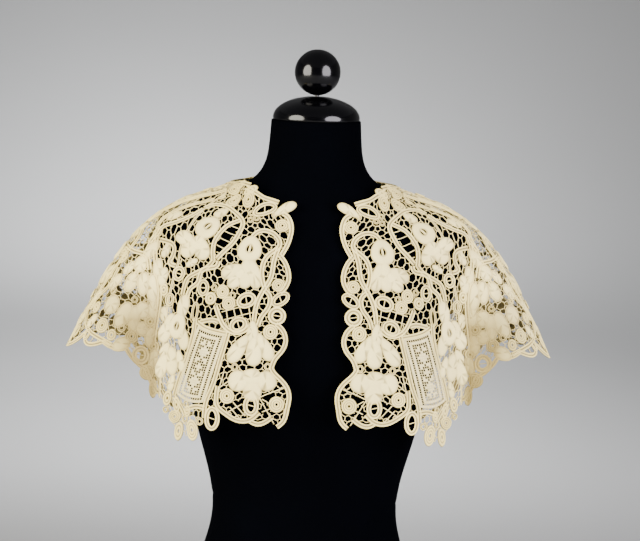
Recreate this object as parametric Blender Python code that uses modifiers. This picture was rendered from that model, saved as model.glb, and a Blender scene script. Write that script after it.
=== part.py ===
"""A dress collar of mixed tape lace on a black limbless dress form.

The collar is a wide cape of cream lace, open down the front. Two front panels hang from the
bust, two pointed wings stand out past the shoulders, and a back panel joins them. Each front
panel has a netted filet insert let into it. The wall of every panel is cut from one smooth
surface, which is drawn through a short table of sections. The form is a torso with a flat
base, a turned cap on its neck and a ball finial.

Metres, +Z up. The origin is on the floor under the middle of the form, and the front of the
form faces -Y. Left and right are the wearer's, so left is +X.
"""

import math

import bmesh
import bpy
import numpy as np
from mathutils import Vector
from mathutils.bvhtree import BVHTree
from mathutils.geometry import delaunay_2d_cdt

MM = 0.001

# Dress form, real sizes
NECK_TOP_Z = 0.726
CAP_RADIUS = 0.0565
CAP_TOP_Z = 0.757
CAP_SEAT_RADIUS = 0.010
STEM_RADIUS = 0.0088
BALL_RADIUS = 0.029
BALL_CENTRE_Z = 0.789
ROUNDNESS = 2.2
TORSO_COLUMNS = 40
TORSO_RINGS = 22
TURN_STEPS = 24

# Lace, real sizes
GROUND_THICK = 1.5 * MM
TAPE_THICK = 2.5 * MM
PETAL_RIM_THICK = 2.5 * MM
PETAL_THICK = 3.2 * MM
TAPE_WIDTH = 6.5 * MM
RING_BAND = 4 * MM
SEAM_GAP = 0.3 * MM
LIFT_AT_NECK = 0.8 * MM
LIFT_BELOW = 4.0 * MM
LIFT_REACHED = 0.22
# Net cells of each panel, tried from large to small, and the bar left between them
FRONT_CELLS = ((7.4 * MM, 5.2 * MM), 2.2 * MM)
WING_CELLS = ((8.8 * MM,), 8.5 * MM)
BACK_CELLS = ((9.4 * MM,), 11.0 * MM)
CELL_CORNERS = 5
CELL_ROWS = np.arange(0.03, 0.98, 0.0125)
CELL_STEP = 4 * MM
EDGE_KEEP = 3.2 * MM
INSERT_KEEP = 4.5 * MM
SMALLEST_GAP_RADIUS = 2.1 * MM

# How closely the wall is sampled: along tapes, edges and seams, and in the bare ground
TAPE_KEEP_STEP = 5 * MM
TAPE_SAMPLE = 15 * MM
HEM_SAMPLE = 9 * MM
NECK_SAMPLE = 11 * MM
SEAM_SAMPLE = 16 * MM
FILL_SPACING = 19 * MM
FILL_ROWS = np.arange(0.04, 0.97, 0.05)
# One step from neck to hem is about a third of a metre, so v is drawn this much shorter than u
CHART_SCALE = np.array([1.0, 0.33])

# How the reference view sees a point: its scale, tilt and centre, for the tables that place
# motifs by where they are seen from the front
VIEW_DISTANCE = 4.5
VIEW_AZIMUTH = math.radians(-3.0)
VIEW_ELEVATION = math.radians(5.5)
VIEW_ROLL = math.radians(1.8)
VIEW_TARGET = (0.011, 0.531)
METRES_PER_PIXEL = 0.0013
VIEW_CENTRE = (320, 270.5)

# Torso rings from the neck down: half width and its height, half depth in front and its
# height, half depth behind and its height
TORSO_ROWS = (
    ("neck top", 0.0580, 0.726, 0.055, 0.726, 0.055, 0.726),
    ("neck", 0.0605, 0.690, 0.056, 0.690, 0.056, 0.692),
    ("low neck", 0.0640, 0.672, 0.058, 0.668, 0.060, 0.677),
    ("neck base", 0.0770, 0.651, 0.064, 0.645, 0.068, 0.662),
    ("collarbone", 0.1000, 0.638, 0.074, 0.627, 0.080, 0.648),
    ("shoulder", 0.1500, 0.618, 0.088, 0.600, 0.095, 0.630),
    ("shoulder end", 0.1880, 0.602, 0.098, 0.577, 0.104, 0.607),
    ("shoulder corner", 0.2030, 0.589, 0.105, 0.560, 0.109, 0.590),
    ("upper arm", 0.2060, 0.570, 0.110, 0.542, 0.113, 0.570),
    ("armhole", 0.1960, 0.532, 0.117, 0.515, 0.118, 0.535),
    ("chest", 0.1860, 0.500, 0.122, 0.488, 0.118, 0.505),
    ("bust", 0.1700, 0.430, 0.127, 0.440, 0.113, 0.435),
    ("under bust", 0.1520, 0.360, 0.116, 0.370, 0.102, 0.360),
    ("midriff", 0.1390, 0.310, 0.102, 0.310, 0.096, 0.310),
    ("waist", 0.1200, 0.220, 0.090, 0.220, 0.085, 0.220),
    ("high hip", 0.1265, 0.180, 0.094, 0.180, 0.095, 0.170),
    ("hip", 0.1500, 0.110, 0.105, 0.110, 0.120, 0.100),
    ("low hip", 0.1650, 0.040, 0.110, 0.040, 0.125, 0.040),
    ("base", 0.1660, 0.000, 0.110, 0.000, 0.122, 0.000),
)

# Sections of the left half of the collar, from the front edge round to the middle of the
# back. Each has five stations from the neck to the hem, as (x, y, z)
COLLAR_ROWS = (
    ("front edge", (0.032, -0.086, 0.622), (0.030, -0.112, 0.553), (0.031, -0.131, 0.482),
     (0.034, -0.137, 0.410), (0.037, -0.137, 0.338)),
    ("front middle", (0.066, -0.068, 0.641), (0.071, -0.105, 0.566), (0.078, -0.127, 0.490),
     (0.083, -0.134, 0.412), (0.087, -0.134, 0.333)),
    ("front outer", (0.087, -0.044, 0.647), (0.112, -0.085, 0.578), (0.134, -0.108, 0.495),
     (0.145, -0.116, 0.405), (0.150, -0.119, 0.316)),
    ("front valley", (0.096, -0.022, 0.645), (0.145, -0.052, 0.600), (0.179, -0.074, 0.524),
     (0.190, -0.082, 0.444), (0.194, -0.080, 0.368)),
    ("wing front", (0.100, -0.011, 0.643), (0.165, -0.028, 0.611), (0.211, -0.051, 0.553),
     (0.232, -0.074, 0.490), (0.246, -0.088, 0.428)),
    ("wing ridge", (0.101, 0.000, 0.642), (0.174, 0.000, 0.616), (0.231, 0.001, 0.571),
     (0.273, 0.003, 0.508), (0.314, 0.004, 0.423)),
    ("wing back", (0.100, 0.011, 0.643), (0.165, 0.029, 0.613), (0.211, 0.053, 0.555),
     (0.232, 0.077, 0.490), (0.246, 0.092, 0.428)),
    ("back valley", (0.096, 0.024, 0.647), (0.145, 0.056, 0.604), (0.179, 0.080, 0.526),
     (0.190, 0.088, 0.444), (0.194, 0.087, 0.362)),
    ("back outer", (0.083, 0.048, 0.653), (0.106, 0.086, 0.590), (0.126, 0.110, 0.500),
     (0.139, 0.121, 0.408), (0.146, 0.126, 0.318)),
    ("back middle", (0.046, 0.074, 0.660), (0.052, 0.104, 0.590), (0.058, 0.124, 0.502),
     (0.063, 0.133, 0.415), (0.068, 0.137, 0.328)),
    ("back centre", (0.000, 0.083, 0.661), (0.000, 0.110, 0.592), (0.000, 0.128, 0.505),
     (0.000, 0.136, 0.415), (0.000, 0.139, 0.325)),
)
VALLEY_SECTION, RIDGE_SECTION, BACK_VALLEY_SECTION = 3, 5, 7

# Scallops of the front edge from the neck down: where each ends, as a share of the edge, and
# how deep the notch after it is in mm
FRONT_SCALLOPS = (
    (0.06, 3.0), (0.20, 10.0), (0.33, 6.0), (0.42, 8.0), (0.50, 7.0), (0.66, 13.0), (0.92, 5.0),
    (1.0, 4.0),
)
# Lobes of the hem: where each ends, as a share of the panel's width, and its notch in mm
FRONT_LOBES = ((0.20, 9.0), (0.34, 5.0), (0.48, 8.0), (0.60, 14.0), (0.72, 7.0), (0.84, 8.0),
               (0.93, 9.0), (1.0, 7.0))
WING_LOBES = ((0.10, 8.0), (0.20, 9.0), (0.30, 7.0), (0.40, 9.0), (0.47, 12.0), (0.53, 12.0),
              (0.60, 9.0), (0.70, 7.0), (0.80, 9.0), (0.90, 8.0), (1.0, 7.0))
BACK_LOBES = ((0.10, 7.0), (0.20, 8.0), (0.30, 7.0), (0.40, 9.0), (0.60, 9.0), (0.70, 7.0),
              (0.80, 8.0), (0.90, 7.0), (1.0, 7.0))

# Petals and leaves as seen from the front on the viewer's left half: place in the view,
# length and width in mm, and the lean of the tip from upright in degrees
FRONT_PETALS = (
    ("bud", 209, 225, 30, 26, 20), ("bud", 182, 243, 28, 19, 60), ("bud", 201, 249, 28, 18, -20),
    ("crown", 250, 249, 34, 30, 0), ("crown", 229, 272, 24, 15, 35),
    ("crown", 241, 278, 26, 15, 5), ("crown", 255, 277, 24, 14, -20),
    ("bell", 253, 347, 34, 18, 0), ("bell", 237, 353, 26, 13, 50), ("bell", 267, 354, 22, 12, -50),
    ("trefoil", 238, 379, 28, 20, 65), ("trefoil", 267, 379, 27, 18, -65),
    ("trefoil", 253, 389, 24, 18, 0),
    ("column", 184, 309, 26, 23, 0), ("column", 173, 333, 28, 14, 15),
    ("column", 188, 340, 26, 13, -10), ("column", 168, 366, 26, 14, 10),
    ("leaf", 170, 401, 22, 12, 20), ("leaf", 177, 417, 24, 13, 10), ("leaf", 184, 431, 22, 13, 0),
    ("leaf", 195, 425, 20, 11, -40),
    ("rosette", 242, 184, 18, 10, 10), ("rosette", 234, 194, 18, 10, 70),
    ("rosette", 250, 199, 18, 10, -40), ("corner leaf", 284, 208, 30, 10, -55),
)
# Rings and crocheted discs: place in the view and radius in mm
FRONT_RINGS = (
    (264, 210, 10), (283, 227, 9), (178, 274, 9), (203, 288, 9.5), (222, 292, 8), (209, 302, 8),
    (247, 300, 10), (239, 324, 9.5), (281, 300, 9.5), (281, 317, 9), (270, 334, 9),
    (227, 399, 9.5), (251, 408, 10), (275, 405, 9), (186, 417, 6), (212, 417, 9), (277, 282, 8),
)
# Tapes: the points that each passes through in the view
FRONT_TAPES = (
    ((252, 187), (264, 195), (278, 202)),
    ((163, 229), (186, 214), (212, 200)),
    ((243, 222), (256, 233), (269, 236), (279, 246), (275, 262), (267, 286)),
    ((216, 258), (227, 244), (240, 225)),
    ((214, 262), (197, 271), (186, 283), (182, 296)),
    ((215, 310), (222, 326), (236, 336), (251, 331)),
    ((230, 337), (222, 365), (212, 403)),
    ((196, 322), (187, 350), (176, 388)),
)
WING_PETALS = (
    ("bud", 143, 265, 22, 19, 0), ("bud", 129, 284, 26, 13, 30), ("bud", 141, 287, 26, 12, 0),
    ("bud", 153, 291, 24, 12, -25), ("bud", 113, 305, 22, 19, 0), ("bud", 124, 321, 26, 13, 0),
    ("bud", 142, 315, 24, 13, -20), ("bud", 92, 330, 24, 12, 40),
)
WING_RINGS = (
    (123, 259, 8), (97, 307, 8.5), (151, 331, 8), (106, 332, 9), (131, 341, 8), (78, 334, 6.5),
)
WING_TAPES = (
    ((212, 194), (172, 209), (151, 233), (134, 262)),
    ((165, 232), (160, 262), (158, 300), (150, 345)),
)
# The back, by mm round from the middle at the lower third, and the share of the way down
BACK_PETALS = (
    ("crown", 0, 0.30, 34, 28, 0), ("crown", 20, 0.40, 26, 15, -25), ("bell", 0, 0.62, 34, 18, 0),
    ("bell", 20, 0.66, 26, 13, -50), ("trefoil", 0, 0.80, 26, 20, 0),
    ("trefoil", 19, 0.77, 26, 18, -60), ("bud", 62, 0.28, 28, 24, 20),
    ("bud", 60, 0.42, 26, 14, 10), ("column", 92, 0.50, 26, 22, 0), ("column", 84, 0.62, 26, 14, 10),
    ("column", 104, 0.63, 26, 14, -15), ("leaf", 98, 0.86, 24, 13, 0),
    ("leaf", 48, 0.86, 24, 13, 10),
)
BACK_RINGS = ((32, 0.22, 8), (36, 0.53, 9), (62, 0.58, 9), (60, 0.72, 9), (0, 0.93, 9),
              (84, 0.76, 8), (26, 0.90, 8), (74, 0.91, 8))
BACK_TAPES = (((8, 0.12), (40, 0.34), (44, 0.62), (40, 0.84)), ((90, 0.20), (112, 0.45), (116, 0.8)))

# Corners of the filet insert in the view, from its inner top corner round
FILET_CORNERS = ((226, 334), (204, 402), (177, 393), (199, 325))
FILET_BORDER = 6 * MM
FILET_RAISE = 2.2 * MM
FILET_SIDE_POINTS = (5, 2, 5, 2)

LACE_COLOUR = (0.83, 0.78, 0.63)
FILET_COLOUR = (0.80, 0.76, 0.64)
JERSEY_COLOUR = (0.004, 0.005, 0.010)
GLOSS_BLACK = (0.004, 0.004, 0.005)


def clear_scene():
    for item in list(bpy.data.objects):
        bpy.data.objects.remove(item, do_unlink=True)


def new_material(name, colour, roughness, metallic=0.0):
    material = bpy.data.materials.new(name)
    material.use_nodes = True
    shader = material.node_tree.nodes["Principled BSDF"]
    shader.inputs["Base Color"].default_value = (*colour, 1.0)
    shader.inputs["Roughness"].default_value = roughness
    shader.inputs["Metallic"].default_value = metallic
    return material


def add_object(name, mesh, material, collection):
    part = bpy.data.objects.new(name, mesh)
    mesh.materials.append(material)
    collection.objects.link(part)
    return part


def spline(knots, values, at):
    """Natural cubic spline through the rows of values, one row a knot, read at the places."""
    knots, values, at = (np.asarray(item, float) for item in (knots, values, at))
    gaps = np.diff(knots)
    system = np.eye(len(knots))
    right = np.zeros_like(values)
    for i in range(1, len(knots) - 1):
        system[i, i - 1 : i + 2] = gaps[i - 1], 2 * (gaps[i - 1] + gaps[i]), gaps[i]
        rise = (values[i + 1] - values[i]) / gaps[i]
        right[i] = 6 * (rise - (values[i] - values[i - 1]) / gaps[i - 1])
    bend = np.linalg.solve(system, right.reshape(len(knots), -1)).reshape(values.shape)
    piece = np.clip(np.searchsorted(knots, at) - 1, 0, len(knots) - 2)
    wide = (...,) + (None,) * (values.ndim - 1)
    before = (at - knots[piece])[wide]
    after = (knots[piece + 1] - at)[wide]
    gap = gaps[piece][wide]
    low = (values[piece] / gap - bend[piece] * gap / 6) * after
    high = (values[piece + 1] / gap - bend[piece + 1] * gap / 6) * before
    return (bend[piece] * after**3 + bend[piece + 1] * before**3) / (6 * gap) + low + high


def make_torso(material, collection):
    """Rings whose depth and height blend from the side rows to the front or back rows."""
    rows = np.array([row[1:] for row in TORSO_ROWS])
    steps = np.abs(np.diff(rows, axis=0)).sum(axis=1)
    places = np.concatenate([[0], np.cumsum(steps)])
    rings = spline(places, rows, np.linspace(0, places[-1], TORSO_RINGS))
    turn = np.linspace(0, 2 * math.pi, TORSO_COLUMNS, endpoint=False)
    cos, sin = np.cos(turn), np.sin(turn)
    power = 2 / ROUNDNESS
    depth = np.where(sin < 0, rings[:, 2:3], rings[:, 4:5])
    depth_z = np.where(sin < 0, rings[:, 3:4], rings[:, 5:6])
    x = rings[:, 0:1] * np.sign(cos) * np.abs(cos) ** power
    y = depth * np.sign(sin) * np.abs(sin) ** power
    z = rings[:, 1:2] * cos**2 + depth_z * sin**2
    points = np.stack([x, y, z], axis=-1).reshape(-1, 3)
    faces = []
    for ring in range(TORSO_RINGS - 1):
        for column in range(TORSO_COLUMNS):
            after = (column + 1) % TORSO_COLUMNS
            low, high = (ring + 1) * TORSO_COLUMNS, ring * TORSO_COLUMNS
            faces.append((high + column, low + column, low + after, high + after))
    faces.append(tuple(range(TORSO_COLUMNS)))
    last = (TORSO_RINGS - 1) * TORSO_COLUMNS
    faces.append(tuple(range(last + TORSO_COLUMNS - 1, last - 1, -1)))
    mesh = bpy.data.meshes.new("form_torso")
    mesh.from_pydata(points.tolist(), [], faces)
    mesh.shade_smooth()
    mesh.set_sharp_from_angle(angle=math.radians(50))
    return add_object("form_torso", mesh, material, collection)


def make_turned(name, profile, material, collection):
    """A profile in x and z, from its top down its outer side, turned round Z."""
    mesh = bpy.data.meshes.new(name)
    edges = [(i, i + 1) for i in range(len(profile) - 1)]
    mesh.from_pydata([(x, 0.0, z) for x, z in profile], edges, [])
    part = add_object(name, mesh, material, collection)
    screw = part.modifiers.new("turn", "SCREW")
    screw.steps = screw.render_steps = TURN_STEPS
    screw.use_merge_vertices = True
    screw.merge_threshold = 0.00001
    screw.use_smooth_shade = True
    return part


def arc(centre_x, centre_z, radius_x, radius_z, start, end, count):
    turns = np.radians(np.linspace(start, end, count))
    across = centre_x + radius_x * np.sin(turns)
    up = centre_z + radius_z * np.cos(turns)
    return list(zip(across.tolist(), up.tolist()))


def make_cap(material, collection):
    """A dome whose lip overhangs nothing, with a small flat seat for the finial on top."""
    seat = NECK_TOP_Z + SEAM_GAP
    lip_top = seat + 3 * MM
    start = math.degrees(math.asin(CAP_SEAT_RADIUS / CAP_RADIUS))
    dome = arc(0, lip_top, CAP_RADIUS, (CAP_TOP_Z - lip_top) / math.cos(math.radians(start)),
               start, 90, 8)
    profile = [(0.0, CAP_TOP_Z)] + dome + [(CAP_RADIUS, seat + 1 * MM)]
    profile += [(CAP_RADIUS - 1 * MM, seat), (0.0, seat)]
    return make_turned("form_neck_cap", profile, material, collection)


def make_finial(material, collection):
    foot = CAP_TOP_Z + SEAM_GAP
    meets = 180 - math.degrees(math.asin(STEM_RADIUS / BALL_RADIUS))
    profile = arc(0, BALL_CENTRE_Z, BALL_RADIUS, BALL_RADIUS, 0, meets, 13)
    profile += [(STEM_RADIUS, foot), (0.0, foot)]
    profile[0] = (0.0, BALL_CENTRE_Z + BALL_RADIUS)
    return make_turned("form_finial", profile, material, collection)


class Surface:
    """The collar's inner surface as a grid over u, metres round it, and v, neck 0 to hem 1.

    It is drawn through the sections of both halves and pushed clear of the torso.
    """

    COLUMNS = 441
    ROWS = 89

    def __init__(self, torso):
        half = np.array([row[1:] for row in COLLAR_ROWS])
        mirrored = half[::-1][1:] * (-1, 1, 1)
        whole = np.concatenate([half, mirrored])
        lower = np.linalg.norm(np.diff(whole[:, 3], axis=0), axis=1)
        upper = np.linalg.norm(np.diff(whole[:, 1], axis=0), axis=1)
        self.knots = np.concatenate([[0], np.cumsum((lower + upper) / 2)])
        self.length = self.knots[-1]
        self.u = np.linspace(0, self.length, self.COLUMNS)
        self.v = np.linspace(0, 1, self.ROWS)
        sections = spline(self.knots, whole, self.u)
        stations = spline(np.linspace(0, 1, half.shape[1]), np.eye(half.shape[1]), self.v)
        self.grid = np.einsum("usc,vs->uvc", sections, stations)
        self.push_clear(torso)
        along = np.gradient(self.grid, self.u, axis=0)
        down = np.gradient(self.grid, self.v, axis=1)
        normal = np.cross(along, down)
        normal /= np.linalg.norm(normal, axis=-1, keepdims=True)
        # Seen from outside with the neck up, u runs to the right on the left half
        outward = normal if normal[self.COLUMNS // 4, 0, 2] > 0 else -normal
        self.fields = np.concatenate([self.grid, outward, along, down], axis=-1)

    def push_clear(self, torso):
        """Lays the grid on the torso: close at the neck and clear of its corners below."""
        tree = BVHTree.FromObject(torso, bpy.context.evaluated_depsgraph_get())
        for j, v in enumerate(self.v):
            lift = LIFT_AT_NECK + (LIFT_BELOW - LIFT_AT_NECK) * min(1.0, v / LIFT_REACHED)
            for i in range(self.COLUMNS):
                point = Vector(self.grid[i, j])
                near, normal, _, _ = tree.find_nearest(point)
                if (point - near).dot(normal) < lift:
                    self.grid[i, j] = near + normal * lift

    def read(self, u, v):
        """Bilinear reading of (point, outward normal, along, down) at arrays of u and v."""
        across = np.clip(np.asarray(u) / self.length, 0, 1) * (self.COLUMNS - 1)
        below = np.clip(np.asarray(v), 0, 1) * (self.ROWS - 1)
        i = np.minimum(across.astype(int), self.COLUMNS - 2)
        j = np.minimum(below.astype(int), self.ROWS - 2)
        p, q = (across - i)[..., None], (below - j)[..., None]
        f = self.fields
        low = f[i, j] * (1 - p) + f[i + 1, j] * p
        high = f[i, j + 1] * (1 - p) + f[i + 1, j + 1] * p
        found = low * (1 - q) + high * q
        point, normal, along, down = (found[..., k : k + 3] for k in (0, 3, 6, 9))
        normal = normal / np.linalg.norm(normal, axis=-1, keepdims=True)
        return point, normal, along, down

    def from_view(self, seen):
        """The (u, v) on the front of the right half, kept as left, nearest to each place seen."""
        columns = int(self.knots[RIDGE_SECTION] / self.length * (self.COLUMNS - 1)) + 1
        flipped = self.grid[:columns] * (-1, 1, 1)
        places = view_of(flipped.reshape(-1, 3))
        wanted = np.asarray(seen, float).reshape(-1, 2)
        away = ((places[None] - wanted[:, None]) ** 2).sum(axis=-1)
        best = away.argmin(axis=1)
        return np.stack([self.u[best // self.ROWS], self.v[best % self.ROWS]], axis=-1)

    def beside(self, place, offsets):
        """(u, v) of points offset by metres across and down the cloth from one (u, v)."""
        _, normal, along, down = self.read(place[0], place[1])
        fall = np.array([0, 0, -1.0]) + normal * normal[2]
        fall /= np.linalg.norm(fall)
        across = np.cross(normal, fall)
        moved = offsets[:, :1] * across + offsets[:, 1:] * fall
        steps = np.linalg.lstsq(np.stack([along, down], axis=-1), moved.T, rcond=None)[0]
        return place + steps.T


def view_of(points):
    """Where the reference view sees each point, by a pinhole projection with a roll."""
    sin, cos = math.sin(VIEW_AZIMUTH), math.cos(VIEW_AZIMUTH)
    rise, level = math.sin(VIEW_ELEVATION), math.cos(VIEW_ELEVATION)
    look = np.array([-sin * level, cos * level, -rise])
    right = np.array([cos, sin, 0.0])
    up = np.cross(right, look)
    target = np.array([VIEW_TARGET[0] * cos, VIEW_TARGET[0] * sin, VIEW_TARGET[1]])
    away = points - (target - look * VIEW_DISTANCE)
    scale = VIEW_DISTANCE / METRES_PER_PIXEL / (away @ look)
    x, y = away @ right * scale, -(away @ up) * scale
    tilt, keep = math.sin(VIEW_ROLL), math.cos(VIEW_ROLL)
    return np.stack([VIEW_CENTRE[0] + x * keep - y * tilt,
                     VIEW_CENTRE[1] + x * tilt + y * keep], axis=-1)


def petal_outline(length, width, lean):
    """Six points of a leaf whose tip leans from upright, as offsets across and down."""
    turn = np.radians(np.arange(6) * 60.0)
    narrow = 1 - 0.25 * np.sin(turn)
    x, y = width / 2 * np.cos(turn) * narrow, -length / 2 * np.sin(turn)
    tip = math.radians(lean)
    return np.stack([x * math.cos(tip) + y * math.sin(tip),
                     y * math.cos(tip) - x * math.sin(tip)], axis=-1)


def polygon(radius, corners, start):
    turn = start + np.arange(corners) * 2 * math.pi / corners
    return np.stack([radius * np.cos(turn), radius * np.sin(turn)], axis=-1)


def smooth_path(points, spacing, surface):
    """(u, v) points spaced evenly in metres on a smooth curve through a few (u, v) points."""
    places = np.asarray(points, float)
    knots = np.arange(len(places), dtype=float)
    fine = spline(knots, places, np.linspace(0, knots[-1], 80))
    solid = surface.read(fine[:, 0], fine[:, 1])[0]
    run = np.concatenate([[0], np.cumsum(np.linalg.norm(np.diff(solid, axis=0), axis=1))])
    count = max(2, int(round(run[-1] / spacing)) + 1)
    at = np.linspace(0, run[-1], count)
    return np.stack([np.interp(at, run, fine[:, 0]), np.interp(at, run, fine[:, 1])], axis=-1)


def scalloped(rows, length, samples):
    """Shares along an edge and how far in from it, in metres: one round bulge a row."""
    shares, depths = [], []
    start = 0.0
    notch_before = rows[-1][1] * MM
    for end, notch in rows:
        notch *= MM
        steps = max(3, int(round((end - start) * length / samples)))
        for k in range(steps):
            t = k / steps
            notch_here = notch_before * (1 - t) + notch * t
            shares.append(start + (end - start) * t)
            depths.append(notch_here * (1 - math.sqrt(max(0.0, 1 - (2 * t - 1) ** 2))))
        start, notch_before = end, notch
    return np.array(shares), np.array(depths)


def edge_u(surface, v, depth):
    """u of the front edge at v, moved in by a depth in metres."""
    _, _, along, _ = surface.read(np.zeros_like(v), v)
    return depth / np.linalg.norm(along, axis=-1)


def hem_v(surface, u, depth):
    """v of the hem at u, moved up by a depth in metres."""
    _, _, _, down = surface.read(u, np.ones_like(u))
    return 1 - depth / np.linalg.norm(down, axis=-1)


def run_length(surface, u, v):
    points = surface.read(u, v)[0]
    return float(np.linalg.norm(np.diff(points, axis=0), axis=1).sum())


def panel_outline(surface, start, end, lobes, front_edge):
    """The (u, v) loop of a panel: down its first side, along the hem, up and back."""
    spread = np.linspace(0, 1, 60)
    ones = np.ones(60)
    hem_length = run_length(surface, start + spread * (end - start), ones)
    shares, depths = scalloped(lobes, hem_length, HEM_SAMPLE)
    hem_us = start + shares * (end - start)
    hem = np.stack([hem_us, hem_v(surface, hem_us, depths)], axis=-1)
    last = hem_v(surface, np.array([end]), np.array([lobes[-1][1] * MM]))
    hem = np.concatenate([hem, [[end, last[0]]]])
    if front_edge:
        length = run_length(surface, ones * start, spread)
        down, cut = scalloped(FRONT_SCALLOPS, length, HEM_SAMPLE)
        first = np.stack([edge_u(surface, down, cut), down], axis=-1)
        hem = hem[1:]
    else:
        count = int(run_length(surface, ones * start, spread) / SEAM_SAMPLE)
        down = np.linspace(0, hem[0, 1], count, endpoint=False)
        first = np.stack([np.full(count, start), down], axis=-1)
    count = int(run_length(surface, ones * end, spread) / SEAM_SAMPLE)
    rise = np.linspace(hem[-1, 1], 0, count, endpoint=False)[1:]
    second = np.stack([np.full(len(rise), end), rise], axis=-1)
    count = int(run_length(surface, start + spread * (end - start), 0 * ones) / NECK_SAMPLE)
    back = np.linspace(end, first[0, 0], max(3, count), endpoint=False)
    neck = np.stack([back, np.zeros(len(back))], axis=-1)
    return np.concatenate([first, hem, second, neck])


def inside(loop, points):
    """Which points lie in a closed loop, by counting the sides that a ray crosses."""
    loop, points = np.asarray(loop), np.asarray(points)
    x1, y1 = loop[:, 0], loop[:, 1]
    x2, y2 = np.roll(x1, -1), np.roll(y1, -1)
    px, py = points[:, 0:1], points[:, 1:2]
    spans = (y1 > py) != (y2 > py)
    rise = np.where(y2 == y1, 1e-12, y2 - y1)
    return ((spans & (px < x1 + (py - y1) / rise * (x2 - x1))).sum(axis=1) % 2) == 1


def grown(loop, share):
    """A loop made larger or smaller about its middle."""
    middle = loop.mean(axis=0)
    return middle + (loop - middle) * share


class Motifs:
    """What lies on one panel: raised points, cut loops and the places that cells keep off."""

    def __init__(self, surface):
        self.surface = surface
        self.raised = []
        self.cuts = []
        self.keep_off = []

    def keep(self, place, radius):
        self.keep_off.append((self.surface.read(place[0], place[1])[0], radius))

    def petal(self, place, length, width, lean):
        outline = petal_outline(length * MM, width * MM, lean)
        rim = self.surface.beside(place, outline)
        self.raised += [(point, PETAL_RIM_THICK) for point in rim]
        self.raised.append((place, PETAL_THICK))
        tip = math.radians(lean)
        for share in (-0.28, 0, 0.28):
            reach = share * length * MM
            spot = np.array([[reach * math.sin(tip), reach * math.cos(tip)]])
            self.keep(self.surface.beside(place, -spot)[0], width * MM / 2)

    def ring(self, place, radius):
        hole = radius * MM - RING_BAND
        self.keep(place, radius * MM)
        if hole < SMALLEST_GAP_RADIUS:
            self.raised.append((place, PETAL_THICK))
            return
        self.cuts.append((self.surface.beside(place, polygon(hole, 6, 0)), TAPE_THICK))

    def tape(self, path):
        for place in smooth_path(path, TAPE_KEEP_STEP, self.surface):
            self.keep(place, TAPE_WIDTH / 2)
        ridge = smooth_path(path, TAPE_SAMPLE, self.surface)
        self.raised += [(place, TAPE_THICK) for place in ridge]


def front_motifs(surface):
    motifs = Motifs(surface)
    for _, x, y, length, width, lean in FRONT_PETALS:
        motifs.petal(surface.from_view((x, y))[0], length, width, -lean)
    for x, y, radius in FRONT_RINGS:
        motifs.ring(surface.from_view((x, y))[0], radius)
    for path in FRONT_TAPES:
        motifs.tape(surface.from_view(path))
    return motifs


def about_ridge(surface, seen, side):
    """The (u, v) of places seen on the wing, or with side -1 of their images behind its ridge."""
    ridge = surface.knots[RIDGE_SECTION]
    places = surface.from_view(seen)
    return np.stack([ridge + side * (places[:, 0] - ridge), places[:, 1]], axis=-1)


def wing_motifs(surface):
    motifs = Motifs(surface)
    for side in (1, -1):
        for _, x, y, length, width, lean in WING_PETALS:
            motifs.petal(about_ridge(surface, (x, y), side)[0], length, width, -lean * side)
        for x, y, radius in WING_RINGS:
            motifs.ring(about_ridge(surface, (x, y), side)[0], radius)
        for path in WING_TAPES:
            motifs.tape(about_ridge(surface, path, side))
    return motifs


def back_motifs(surface):
    """The back's motifs on both sides of its middle. One that lies on the middle comes once."""
    motifs = Motifs(surface)
    middle = surface.length / 2
    for side in (1, -1):
        for _, round_mm, v, length, width, lean in BACK_PETALS:
            if round_mm or side > 0:
                place = np.array([middle + side * round_mm * MM, v])
                motifs.petal(place, length, width, lean * side)
        for round_mm, v, radius in BACK_RINGS:
            if round_mm or side > 0:
                motifs.ring(np.array([middle + side * round_mm * MM, v]), radius)
        for path in BACK_TAPES:
            motifs.tape(np.array([(middle + side * round_mm * MM, v) for round_mm, v in path]))
    return motifs


def filet_loop(surface, inset):
    """The insert's outline in (u, v), each side moved in by the inset, with points along it."""
    corners = surface.from_view(FILET_CORNERS)
    solid, _, along, down = surface.read(corners[:, 0], corners[:, 1])
    loop = []
    for k in range(4):
        ahead, behind = solid[(k + 1) % 4] - solid[k], solid[k - 1] - solid[k]
        ahead /= np.linalg.norm(ahead)
        behind /= np.linalg.norm(behind)
        moved = (ahead + behind) * inset / np.linalg.norm(np.cross(ahead, behind))
        steps = np.linalg.lstsq(np.stack([along[k], down[k]], axis=-1), moved, rcond=None)[0]
        loop.append(corners[k] + steps)
    sides = []
    for k, count in enumerate(FILET_SIDE_POINTS):
        t = np.linspace(0, 1, count, endpoint=False)[:, None]
        sides.append(loop[k] * (1 - t) + loop[(k + 1) % 4] * t)
    return np.concatenate(sides)


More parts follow.
